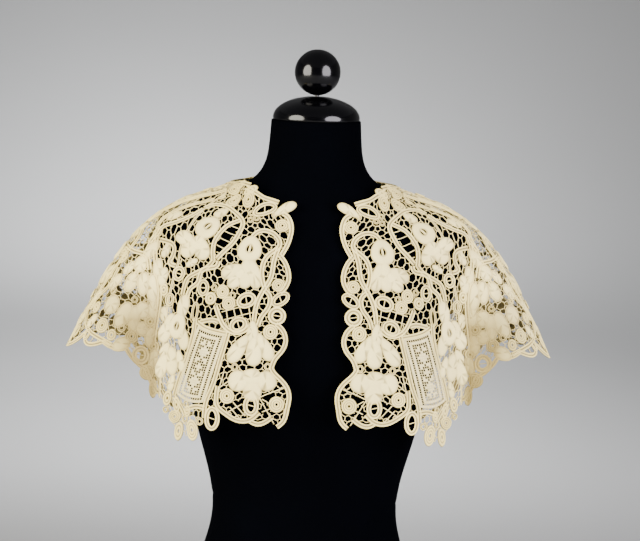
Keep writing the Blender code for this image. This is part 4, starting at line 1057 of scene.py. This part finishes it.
# %% [markdown]
# ## The net of thread bars
#
# The ground between the motifs is worked last, with a needle: a bar of twisted thread is run
# from motif to motif and to the next bar, so the gaps are uneven polygons, most with five or
# six sides about 9 mm across. Random points in jittered rows stand for the gaps. Their
# triangles' centres, joined across shared sides, are the ends of the bars between them.

# %% Find the bars between random points
GAP_ACROSS = 9.2 * MM
ROW_SHARE, ROW_JITTER = 0.86, 0.34
BAR_RADIUS = 0.58 * MM
PICOT_SHARE = 0.28
PLAIN_BAR = np.array([(0.0, 1.0), (1.0, 1.0)])
PICOT_BAR = np.array([(0.0, 1.0), (0.38, 0.9), (0.50, 1.9), (0.62, 0.9), (1.0, 1.0)])
NET_HEIGHT = 0.7 * MM
CUT_STEPS = 13
# The way from neck to hem in metres, so that the triangles are made at nearly their true shape
CHART_DOWN = 0.33


def net_points(start, end):
    """Points in rows a share of a gap apart, every second row shifted by half a gap, and each
    point moved a little by chance."""
    rows = []
    _, _, _, down = surface.read(np.array([(start + end) / 2, 0.5]))
    step = GAP_ACROSS * ROW_SHARE / np.linalg.norm(down)
    for k, v in enumerate(np.arange(-step, 1 + 2 * step, step)):
        line = np.stack([np.linspace(start, end, 40), np.full(40, np.clip(v, 0, 1))], axis=-1)
        width = np.linalg.norm(np.diff(surface.read(line)[0], axis=0), axis=1).sum()
        count = max(3, int(round(width / GAP_ACROSS)))
        u = start + (np.arange(-1, count + 2) + 0.5 * (k % 2)) / count * (end - start)
        jitter = CHANCE.uniform(-ROW_JITTER, ROW_JITTER, (len(u), 2))
        jitter *= ((end - start) / count, step)
        rows.append(np.stack([u, np.full(len(u), v)], axis=-1) + jitter)
    return np.concatenate(rows)


def net_bars(start, end, loop, covered):
    """Ends of the bars: centres of neighbouring triangles, each bar cut back to where it comes
    out of the outline or from under a motif."""
    spots = net_points(start, end)
    chart = spots * (1, CHART_DOWN)
    points, _, faces, _, _, _ = delaunay_2d_cdt([Vector(p * 1000) for p in chart], [], [], 0, 1e-5)
    points = np.array([tuple(p) for p in points]) / 1000 / (1, CHART_DOWN)
    faces = np.array([list(face) for face in faces])
    middles = points[faces].mean(axis=1)
    sides = np.sort(faces[:, [(0, 1), (1, 2), (2, 0)]].reshape(-1, 2), axis=1)
    owner = np.repeat(np.arange(len(faces)), 3)
    code = sides[:, 0] * len(points) + sides[:, 1]
    order = np.argsort(code, kind="stable")
    twins = np.nonzero(code[order][1:] == code[order][:-1])[0]
    pairs = np.stack([owner[order[twins]], owner[order[twins + 1]]], axis=-1)
    a, b = middles[pairs[:, 0]], middles[pairs[:, 1]]
    shares = np.linspace(0, 1, CUT_STEPS)[None, :, None]
    along = a[:, None] * (1 - shares) + b[:, None] * shares
    flat = along.reshape(-1, 2)
    open_here = inside(loop, flat)
    point = surface.read(flat)[0]
    for place, radius in covered:
        open_here &= ((point - surface.read(place)[0]) ** 2).sum(axis=-1) > radius**2
    open_here = open_here.reshape(len(a), CUT_STEPS)
    first = open_here.argmax(axis=1)
    last = CUT_STEPS - 1 - open_here[:, ::-1].argmax(axis=1)
    rows = np.arange(len(a))
    keep = open_here.any(axis=1) & (last > first + 1)
    return along[rows, first][keep], along[rows, last][keep]


# %% Lay the bars
def lay_bars(pile, a, b, thick, shape):
    """Four-sided tubes round lines a to b, closed at both ends. The shape gives each ring's
    share of the way and how thick it is, as a share of the bar's own radius."""
    share = shape[:, 0]
    uv = a[:, None] * (1 - share[None, :, None]) + b[:, None] * share[None, :, None]
    point, normal, _, _ = surface.read(uv)
    side = unit(np.cross(normal, np.gradient(point, axis=1)))
    turn = (np.arange(4) + 0.5) * math.pi / 2
    round_it = side[:, :, None] * np.cos(turn)[:, None] + normal[:, :, None] * np.sin(turn)[:, None]
    rings = thick[:, None] * shape[:, 1]
    grid = point[:, :, None] + normal[:, :, None] * NET_HEIGHT + round_it * rings[..., None, None]
    run = np.concatenate([[0.0], share, [1.0]]) * GAP_ACROSS
    uvs = grid_of(run[:, None], np.arange(5)[None] * 0.9 * MM)
    pile.add(closed_with_middles(grid), uvs, THREAD, CHANCE.uniform(0.75, 1.0, (len(a), 1, 1)))
    length = np.linalg.norm(point[:, -1] - point[:, 0], axis=-1)
    pile.laid += float((length * 2 * thick).sum())


def work_net(pile, a, b):
    """Plain bars, and a share of them with a picot, a knot nearly twice as thick."""
    thick = BAR_RADIUS * CHANCE.uniform(0.8, 1.25, len(a))
    picot = CHANCE.random(len(a)) < PICOT_SHARE
    lay_bars(pile, a[~picot], b[~picot], thick[~picot], PLAIN_BAR)
    lay_bars(pile, a[picot], b[picot], thick[picot], PICOT_BAR)


# %% [markdown]
# ## The netted insert
#
# Filet is a square net knotted first, whose squares are then filled with darning to draw a
# pattern, here a plain chart of small flowers with a border like a drawn-thread hem. The
# chart is a few lines of text: # is a filled square and . an open one. Its lower half mirrors
# the upper one.

# %% Chart and net of the insert
FILET_CORNERS = ((199, 325), (226, 334), (204, 402), (177, 393))
FILET_CHART = (
    "#############",
    "#...........#",
    "#.#########.#",
    "#.#.......#.#",
    "#.#..#.#..#.#",
    "#.#.##.##.#.#",
    "#.#...#...#.#",
    "#.#..###..#.#",
    "#.#.#####.#.#",
    "#.#..###..#.#",
    "#.#...#...#.#",
    "#.#.##.##.#.#",
    "#.#.#...#.#.#",
    "#.#...#...#.#",
    "#.#..###..#.#",
)
FILET_THREAD = 0.42 * MM
FILET_LIFT = 0.9 * MM


def filet_place(across, below):
    """(u, v) at shares across and below in the insert, weighed from its four corners."""
    corners = surface.from_view(FILET_CORNERS)
    across, below = np.asarray(across)[..., None], np.asarray(below)[..., None]
    top = corners[0] * (1 - across) + corners[1] * across
    bottom = corners[3] * (1 - across) + corners[2] * across
    return top * (1 - below) + bottom * below


def filet_pieces(pile):
    """Threads along every line of the net, and a darned patch in every filled square."""
    chart = list(FILET_CHART) + list(FILET_CHART[-2::-1])
    filled = np.array([[mark == "#" for mark in line] for line in chart])
    rows, columns = filled.shape
    for k in range(columns + 1):
        t = np.linspace(0, 1, 2 * rows + 1)
        sweep(pile, filet_place(np.full_like(t, k / columns), t), FILET_THREAD,
              2 * FILET_THREAD, CORD_PROFILE, 0, FILET_LIFT, tone=0.5)
    for k in range(rows + 1):
        t = np.linspace(0, 1, 2 * columns + 1)
        sweep(pile, filet_place(t, np.full_like(t, k / rows)), FILET_THREAD,
              2 * FILET_THREAD, CORD_PROFILE, 0, FILET_LIFT + 0.2 * MM, tone=0.5)
    below, across = np.nonzero(filled)
    corner = np.array([(0, 0), (1, 0), (1, 1), (0, 1)])
    uv = filet_place((across[:, None] + corner[:, 0]) / columns, (below[:, None] + corner[:, 1]) / rows)
    middle = uv.mean(axis=1, keepdims=True) + 0 * uv
    rise = FILET_LIFT + np.array([0.85, 0.6, 0.1, 0.0]) * MM
    grid = np.stack([surface.lifted(place, np.full(place.shape[:-1], high))
                     for place, high in zip((middle, uv, uv, middle), rise)], axis=1)
    size = np.array([0.0, 1.6, 1.6, 0.0]) * MM
    uvs = (corner[[0, 1, 2, 3, 0]][None] * 2 - 1) * size[:, None, None]
    pile.add(grid, uvs, 1, CHANCE.uniform(0.6, 1.0, (len(grid), 1, 1)))
    sides = np.linalg.norm(np.diff(grid[:, 1, :3], axis=1), axis=-1)
    pile.laid += float(sides.prod(axis=1).sum())


# %% [markdown]
# ## Finishes
#
# The lace is cream cotton and linen, aged a little to ecru. Tape is woven, so it shows a fine
# rib and a line of holes. Petals are close-woven cloth and smoother. The bars are twisted
# thread, and the crochet is bumpy from its stitches. All are matt, with the faint sheen of
# fibres. The form has matt black knitted jersey, and its cap and ball are turned wood under
# black gloss lacquer.
#
# A pattern on cloth follows the strip's own map, which is in metres, so that a pitch is a real
# size. Drifts of colour follow the piece's own space.

# %% Helpers for materials
def linear(hex_colour):
    """An sRGB hex colour as linear red, green and blue, by the sRGB curve."""
    parts = [int(hex_colour[k : k + 2], 16) / 255 for k in (1, 3, 5)]
    return tuple(c / 12.92 if c <= 0.04045 else ((c + 0.055) / 1.055) ** 2.4 for c in parts) + (1.0,)


def add_node(material, kind, inputs=None, links=None, **settings):
    """Adds a node with its settings, its input values, and links as (input, (node, output))."""
    node = material.node_tree.nodes.new(kind)
    for key, value in settings.items():
        setattr(node, key, value)
    for key, value in (inputs or {}).items():
        node.inputs[key].default_value = value
    for key, (source, output) in (links or {}).items():
        material.node_tree.links.new(source.outputs[output], node.inputs[key])
    return node


def new_material(name, roughness, **inputs):
    """A material with the shader's constants set on its own sockets."""
    material = bpy.data.materials.new(name)
    material.use_nodes = True
    shader = material.node_tree.nodes["Principled BSDF"]
    shader.inputs["Roughness"].default_value = roughness
    for key, value in inputs.items():
        shader.inputs[key.replace("_", " ")].default_value = value
    return material, shader


def join(material, source, output, node, key):
    material.node_tree.links.new(source.outputs[output], node.inputs[key])


def cloth_parts(material):
    """The two coordinates of the piece's own map, in metres."""
    cloth = add_node(material, "ShaderNodeUVMap", uv_map="cloth")
    return add_node(material, "ShaderNodeSeparateXYZ", links={"Vector": (cloth, "UV")})


def ripple(material, parts, axis, pitch_mm):
    """The sine of one coordinate times a full turn over the pitch: one wave to each pitch."""
    turn = add_node(material, "ShaderNodeMath", {1: 2 * math.pi / (pitch_mm * MM)},
                    {0: (parts, axis)}, operation="MULTIPLY")
    return add_node(material, "ShaderNodeMath", links={0: (turn, 0)}, operation="SINE")


def drift(material, shader, scale, detail, first, second):
    """Colours the piece between two close colours by soft noise, and returns the noise."""
    place = add_node(material, "ShaderNodeTexCoord")
    noise = add_node(material, "ShaderNodeTexNoise", {"Scale": scale, "Detail": detail},
                     {"Vector": (place, "Object")})
    colour = add_node(material, "ShaderNodeMix", {"A": linear(first), "B": linear(second)},
                      {"Factor": (noise, "Fac")}, data_type="RGBA")
    join(material, colour, "Result", shader, "Base Color")
    return noise


# %% Woven tape, cloth, thread and crochet
HOLE_PITCH_MM, HOLE_HALF_WIDTH, HOLE_DEPTH = 1.9, 0.42 * MM, 0.75


def holed(material, parts, colour):
    """The colour darkened in a row of holes: near the strip's middle line, where a ripple
    along it is high."""
    off_middle = add_node(material, "ShaderNodeMath", links={0: (parts, "Y")},
                          operation="ABSOLUTE")
    line = add_node(material, "ShaderNodeMath", {1: HOLE_HALF_WIDTH}, {0: (off_middle, 0)},
                    operation="LESS_THAN")
    gap = add_node(material, "ShaderNodeMath", {1: -0.1},
                   {0: (ripple(material, parts, "X", HOLE_PITCH_MM), 0)},
                   operation="GREATER_THAN")
    hole = add_node(material, "ShaderNodeMath", links={0: (line, 0), 1: (gap, 0)},
                    operation="MULTIPLY")
    hole = add_node(material, "ShaderNodeMath", {1: HOLE_DEPTH}, {0: (hole, 0)},
                    operation="MULTIPLY")
    return add_node(material, "ShaderNodeMix", {"B": linear("#5C5340")},
                    {"Factor": (hole, 0), "A": (colour, "Result")}, data_type="RGBA")


def lace_material(name, light, dark, roughness, along_mm, across_mm, bump_mm, holes=False):
    """Cream cotton seen close: two colours mixed by the work's own tone, which is low where
    shade is painted, in grooves, creases, undersides and where the wing turns under, and by soft
    patches, and a bump of threads along and across, at a set pitch in the strip's own map."""
    material, shader = new_material(name, roughness, Sheen_Weight=0.05, Sheen_Roughness=0.5,
                                    Specular_IOR_Level=0.15)
    parts = cloth_parts(material)
    place = add_node(material, "ShaderNodeTexCoord")
    patches = add_node(material, "ShaderNodeTexNoise", {"Scale": 26.0, "Detail": 3.0},
                       {"Vector": (place, "Object")})
    tone = add_node(material, "ShaderNodeAttribute", attribute_name="tone")
    blend = add_node(material, "ShaderNodeMath", {1: 0.85},
                     {0: (tone, "Fac")}, operation="MULTIPLY")
    blend = add_node(material, "ShaderNodeMath", {1: 0.3},
                     {0: (patches, "Fac"), 2: (blend, 0)}, operation="MULTIPLY_ADD")
    colour = add_node(material, "ShaderNodeMix", {"A": linear(dark), "B": linear(light)},
                      {"Factor": (blend, 0)}, data_type="RGBA")
    if holes:
        colour = holed(material, parts, colour)
    join(material, colour, "Result", shader, "Base Color")
    weave = add_node(material, "ShaderNodeMath",
                     links={0: (ripple(material, parts, "X", along_mm), 0),
                            1: (ripple(material, parts, "Y", across_mm), 0)},
                     operation="MULTIPLY")
    bump = add_node(material, "ShaderNodeBump", {"Distance": bump_mm * MM, "Strength": 0.6},
                    {"Height": (weave, 0)})
    join(material, bump, "Normal", shader, "Normal")
    return material


# The weave of the real cloth is finer than the picture can show, so it is drawn about twice as
# coarse. The last three numbers are its pitch along and across and the height of its bump in mm
LACE_MATERIALS = (
    # Machine-woven tape: a fine rib and a line of holes down its middle
    lace_material("woven_cotton_tape", "#FFEB9A", "#6F5B2E", 0.85, 1.1, 1.1, 0.12, holes=True),
    # Close-woven cloth: the smoothest, shaded by its domes and creases more than by its weave
    lace_material("close_woven_cotton", "#FFECA0", "#6C5A2B", 0.8, 0.9, 0.9, 0.06),
    # Twisted linen: small even humps along each bar
    lace_material("twisted_linen_thread", "#FCE89E", "#7A6838", 0.8, 1.0, 0.9, 0.15),
    # Crocheted cotton: the coarsest, with the darkest painted shade in the grooves between its rounds
    lace_material("crocheted_cotton", "#FDE896", "#604E24", 0.88, 1.5, 1.4, 0.25),
)
FILET_MATERIALS = (
    # Knotted and darned net: the same cotton, with a paler painted shade in its grooves and underneath
    lace_material("knotted_net_thread", "#FBEBAC", "#B8A66C", 0.85, 1.0, 0.9, 0.12),
    lace_material("darned_net", "#FBEDB2", "#B8A870", 0.88, 0.8, 0.8, 0.18),
)


# %% Black jersey and black lacquer
def jersey_material():
    """Fine black knit, quite matt: columns of stitches 1.2 mm wide and rows 0.9 mm high, in a
    black that drifts a little towards blue."""
    material, shader = new_material("black_cotton_jersey", 0.95, Specular_IOR_Level=0.01)
    drift(material, shader, 9.0, 4.0, "#010102", "#020306")
    parts = cloth_parts(material)
    columns = ripple(material, parts, "X", 1.2)
    rows = ripple(material, parts, "Y", 0.9)
    knit = add_node(material, "ShaderNodeMath", {1: 0.4}, {0: (rows, 0), 2: (columns, 0)},
                    operation="MULTIPLY_ADD")
    bump = add_node(material, "ShaderNodeBump", {"Distance": 0.15 * MM, "Strength": 0.5},
                    {"Height": (knit, 0)})
    join(material, bump, "Normal", shader, "Normal")
    return material


def lacquer_material():
    """Black gloss lacquer on turned wood: mirror-like, with the slight unevenness of a brushed
    coat in its gloss and its surface."""
    material, shader = new_material("black_gloss_lacquer", 0.12, Specular_IOR_Level=0.36)
    waves = drift(material, shader, 40.0, 2.0, "#010102", "#030304")
    gloss = add_node(material, "ShaderNodeMapRange", {"To Min": 0.10, "To Max": 0.17},
                     {"Value": (waves, "Fac")})
    join(material, gloss, "Result", shader, "Roughness")
    bump = add_node(material, "ShaderNodeBump", {"Distance": 0.02 * MM, "Strength": 0.3},
                    {"Height": (waves, "Fac")})
    join(material, bump, "Normal", shader, "Normal")
    return material


JERSEY, LACQUER = jersey_material(), lacquer_material()
print("materials", len(bpy.data.materials))

# %% [markdown]
# ## Build the form
#
# The torso's grid gets its ends closed and a map in metres for the knit. The cap and the
# ball are turned, so each is a profile carried round the axis.

# %% Torso, cap and finial
NECK_TOP_Z, CAP_RADIUS, CAP_TOP_Z, CAP_SEAT_RADIUS = 0.726, 0.0565, 0.757, 0.010
CAP_LIP = 3 * MM
STEM_RADIUS, BALL_RADIUS, BALL_CENTRE_Z = 0.0030, 0.0298, 0.7882
SHARPEST_SMOOTH_EDGE = math.radians(50)
TURN_COLUMNS = 128
HAIR_GAP = 0.3 * MM


def revolved(radius, height, columns):
    """A profile carried once round the axis: x is its radius times cosine, y times sine."""
    turn = np.linspace(0, 2 * math.pi, columns, endpoint=False)
    return grid_of(radius[:, None] * np.cos(turn), radius[:, None] * np.sin(turn), height[:, None])


def make_torso():
    """The torso's rings, with a map of metres round and down."""
    grid = closed_with_middles(torso)
    round_it = np.linspace(0, ROUND_THE_TORSO, TORSO_COLUMNS + 1)
    uvs = grid_of(round_it[None], run_along(grid[:, 0])[:, None])
    return piece_of_one("jersey_torso", grid, uvs, JERSEY)


def make_turned(name, profile):
    """A piece turned from a profile of (radius, height), from top to bottom."""
    radius, height = np.array(profile).T
    uvs = grid_of(np.linspace(0, 1, TURN_COLUMNS + 1)[None], height[:, None])
    piece = piece_of_one(name, revolved(radius, height, TURN_COLUMNS), uvs, LACQUER)
    piece.data.set_sharp_from_angle(angle=SHARPEST_SMOOTH_EDGE)
    return piece


def arc(radius_x, radius_z, centre_z, start, end, count):
    """Points on an ellipse, the turn measured from straight up."""
    turns = np.radians(np.linspace(start, end, count))
    return list(zip(radius_x * np.sin(turns), centre_z + radius_z * np.cos(turns)))


seat_z = NECK_TOP_Z + HAIR_GAP
lip_top = seat_z + CAP_LIP
seat_turn = math.degrees(math.asin(CAP_SEAT_RADIUS / CAP_RADIUS))
dome_height = (CAP_TOP_Z - lip_top) / math.cos(math.radians(seat_turn))
cap_profile = [(0.0, CAP_TOP_Z)] + arc(CAP_RADIUS, dome_height, lip_top, seat_turn, 90, 40)
cap_profile += [(CAP_RADIUS, seat_z + 1.0 * MM), (CAP_RADIUS - 0.3 * MM, seat_z + 0.3 * MM),
                (CAP_RADIUS - 1.0 * MM, seat_z), (0.0, seat_z)]
foot_z = CAP_TOP_Z + HAIR_GAP
stem_turn = 180 - math.degrees(math.asin(STEM_RADIUS / BALL_RADIUS))
ball_profile = arc(BALL_RADIUS, BALL_RADIUS, BALL_CENTRE_Z, 0, stem_turn, 60)
ball_profile[0] = (0.0, BALL_CENTRE_Z + BALL_RADIUS)
ball_profile += [(STEM_RADIUS, foot_z), (0.0, foot_z)]

jersey_torso = make_torso()
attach(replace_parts(jersey_torso, "form_torso"), "root")
lacquer_cap = make_turned("lacquered_neck_cap", cap_profile)
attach(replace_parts(lacquer_cap, "form_neck_cap"), "root")
lacquer_ball = make_turned("lacquered_ball_finial", ball_profile)
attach(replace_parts(lacquer_ball, "form_finial"), "root")

# %% [markdown]
# ## Build the lace
#
# Each panel is one pile: border tapes, motifs and net. It is laid on the left side and made
# again as its mirror image on the right. Each piece takes the place of its part from the solids,
# and the area of its strips and plates laid flat is printed beside the flat size of its cut.

# %% Panels, inserts and the flat size of each cut
SEAM = 0.3 * MM
NECKLINE_ENDS_AT = (250, 190)
# Shares across and down the insert of the circles that keep the net off it
INSERT_SPOTS = np.meshgrid(np.linspace(0.1, 0.9, 6), np.linspace(0.03, 0.97, 18))
INSERT_SPOT_RADIUS = 5 * MM


def declare(piece, node):
    """Hides the piece's part from the solids and hangs the piece from the root. Lace is built
    up, not cut, so its area laid flat is that of all its strips and plates, which the pile sums.
    """
    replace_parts(piece, node)
    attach(piece, "root")


# Name, CAD node, where it starts and ends round the collar, its hem's lobes, what is laid on it
# and its flat size in metres
PANELS = (
    ("lace_front", "collar_front", 0.0, VALLEY_U - SEAM, (), front_pieces, (0.24, 0.35)),
    ("lace_shoulder", "collar_shoulder", VALLEY_U + SEAM, BACK_VALLEY_U - SEAM, WING_LOBES,
     wing_pieces, (0.30, 0.33)),
    ("lace_back", "collar_back", BACK_VALLEY_U + SEAM, surface.length - BACK_VALLEY_U - SEAM,
     BACK_LOBES, back_pieces, (0.44, 0.36)),
)

for name, node, start, end, lobes, lay_pieces, flat in PANELS:
    pile = Pile()
    covered = lay_pieces(pile, start, end)
    neck_start = start
    if lobes:
        border_tape(pile, hem_line(start, end, lobes, TAPE_HALF_WIDTH))
        seam_cord(pile, side_line(start, 0.8 * MM)[:-4])
        loop = panel_loop(start, end, lobes, 2 * MM)
    else:
        spots = filet_place(*INSERT_SPOTS).reshape(-1, 2)
        covered += [(place, INSERT_SPOT_RADIUS) for place in spots]
        neck_start = seen_place(NECKLINE_ENDS_AT)[0]
        loop = front_net_loop(end)
    seam_cord(pile, side_line(end, -0.8 * MM)[:-4])
    along_neck = np.linspace(neck_start, end, 200)
    neck = np.stack([along_neck, NECK_INSET + neck_dip(along_neck)], axis=-1)
    border_tape(pile, neck, 2)
    work_net(pile, *net_bars(start, end, loop, covered))
    if node == "collar_shoulder":
        shade_turned_under(pile)
    print(name, "laid flat", round(pile.laid, 4), "m2 in", flat)
    sides = (("_left", 1), ("_right", -1)) if start < BACK_VALLEY_U else (("", 1),)
    for ending, side in sides:
        piece = pile.make(name + ending, LACE_MATERIALS, side)
        declare(piece, node + ending)

filet_pile = Pile()
filet_pieces(filet_pile)
for ending, side in (("_left", 1), ("_right", -1)):
    piece = filet_pile.make("filet_net" + ending, FILET_MATERIALS, side)
    declare(piece, "filet_insert" + ending)
print("filet_net laid flat", round(filet_pile.laid, 4), "m2")

# %% [markdown]
# ## Floor, light and camera
#
# A pale floor that sweeps up all round stands for a studio's paper backdrop. Two soft boxes in
# front, left and right, are what the ball and the cap mirror, and a wide pale sky fills the
# shadows. Three small lamps behind the form brighten the paper at the middle of the picture.

# %% Backdrop
BOWL_RADIUS, BOWL_HEIGHT, BOWL_FLAT = 9.0, 5.0, 4.0
BOWL_ROWS, BOWL_COLUMNS, BOWL_THICK = 60, 120, 0.02


def make_backdrop():
    """A flat disc whose rim rises: the height grows with the cube of the way out past it."""
    way = np.linspace(0, 1, BOWL_ROWS)
    radius = BOWL_RADIUS * way
    height = BOWL_HEIGHT * np.clip((radius - BOWL_FLAT) / (BOWL_RADIUS - BOWL_FLAT), 0, 1) ** 3
    top = revolved(radius, height, BOWL_COLUMNS)
    grid = np.concatenate([top, top[::-1] - (0, 0, BOWL_THICK)])
    uvs = np.zeros((len(grid), BOWL_COLUMNS + 1, 2))
    material, shader = new_material("pale_paper", 0.9, Specular_IOR_Level=0.1)
    drift(material, shader, 0.8, 2.0, "#8A8B8C", "#909192")
    return piece_of_one("studio_floor", grid, uvs, material)


make_backdrop()


# %% Lights
def soft_box(name, place, width, height, watts, aim=(0.0, 0.0, 0.5), colour="#FFFFFF"):
    """A soft lamp of an oval shape, turned to face its aim."""
    lamp = bpy.data.lights.new(name, "AREA")
    lamp.shape = "ELLIPSE"
    lamp.size, lamp.size_y, lamp.energy = width, height, watts
    lamp.color = linear(colour)[:3]
    box = bpy.data.objects.new(name, lamp)
    box.location = place
    box.rotation_euler = (Vector(aim) - Vector(place)).to_track_quat("-Z", "Y").to_euler()
    bpy.context.scene.collection.objects.link(box)


soft_box("soft_box_left", (-2.8, -1.8, 0.95), 2.6, 3.7, 450, colour="#FDF8EA")
soft_box("soft_box_right", (2.2, -2.4, 0.95), 2.6, 3.7, 410, colour="#F8F4FC")
soft_box("strip_over_floor", (-0.03, 3.4, 1.1), 0.3, 3.6, 56, (-0.03, 3.6, 0.0))
soft_box("glow_on_backdrop", (-0.03, 5.1, 1.2), 0.5, 0.5, 50, (-0.03, 5.8, 0.2))
soft_box("glow_on_floor", (-0.03, 1.6, 1.1), 0.4, 0.4, 26, (-0.03, 2.1, 0.0))

world = bpy.data.worlds.new("studio")
world.use_nodes = True
sky = world.node_tree.nodes["Background"]
sky.inputs["Color"].default_value = linear("#DCDCDF")
sky.inputs["Strength"].default_value = 0.24
bpy.context.scene.world = world

# %% Camera
lens = bpy.data.cameras.new("camera")
lens.sensor_width = 36.0
lens.lens = 36.0 * VIEW_DISTANCE / (METRES_PER_PIXEL * PICTURE[0])
lens.clip_end = 100.0
camera = bpy.data.objects.new("camera", lens)
camera.location = TARGET - LOOK * VIEW_DISTANCE
facing = Vector(LOOK).to_track_quat("-Z", "Y")
camera.rotation_mode = "QUATERNION"
camera.rotation_quaternion = facing @ Quaternion((0, 0, 1), VIEW_ROLL)
bpy.context.scene.collection.objects.link(camera)
bpy.context.scene.camera = camera
print("lens", round(lens.lens, 1), "mm on a sensor", lens.sensor_width, "mm wide")
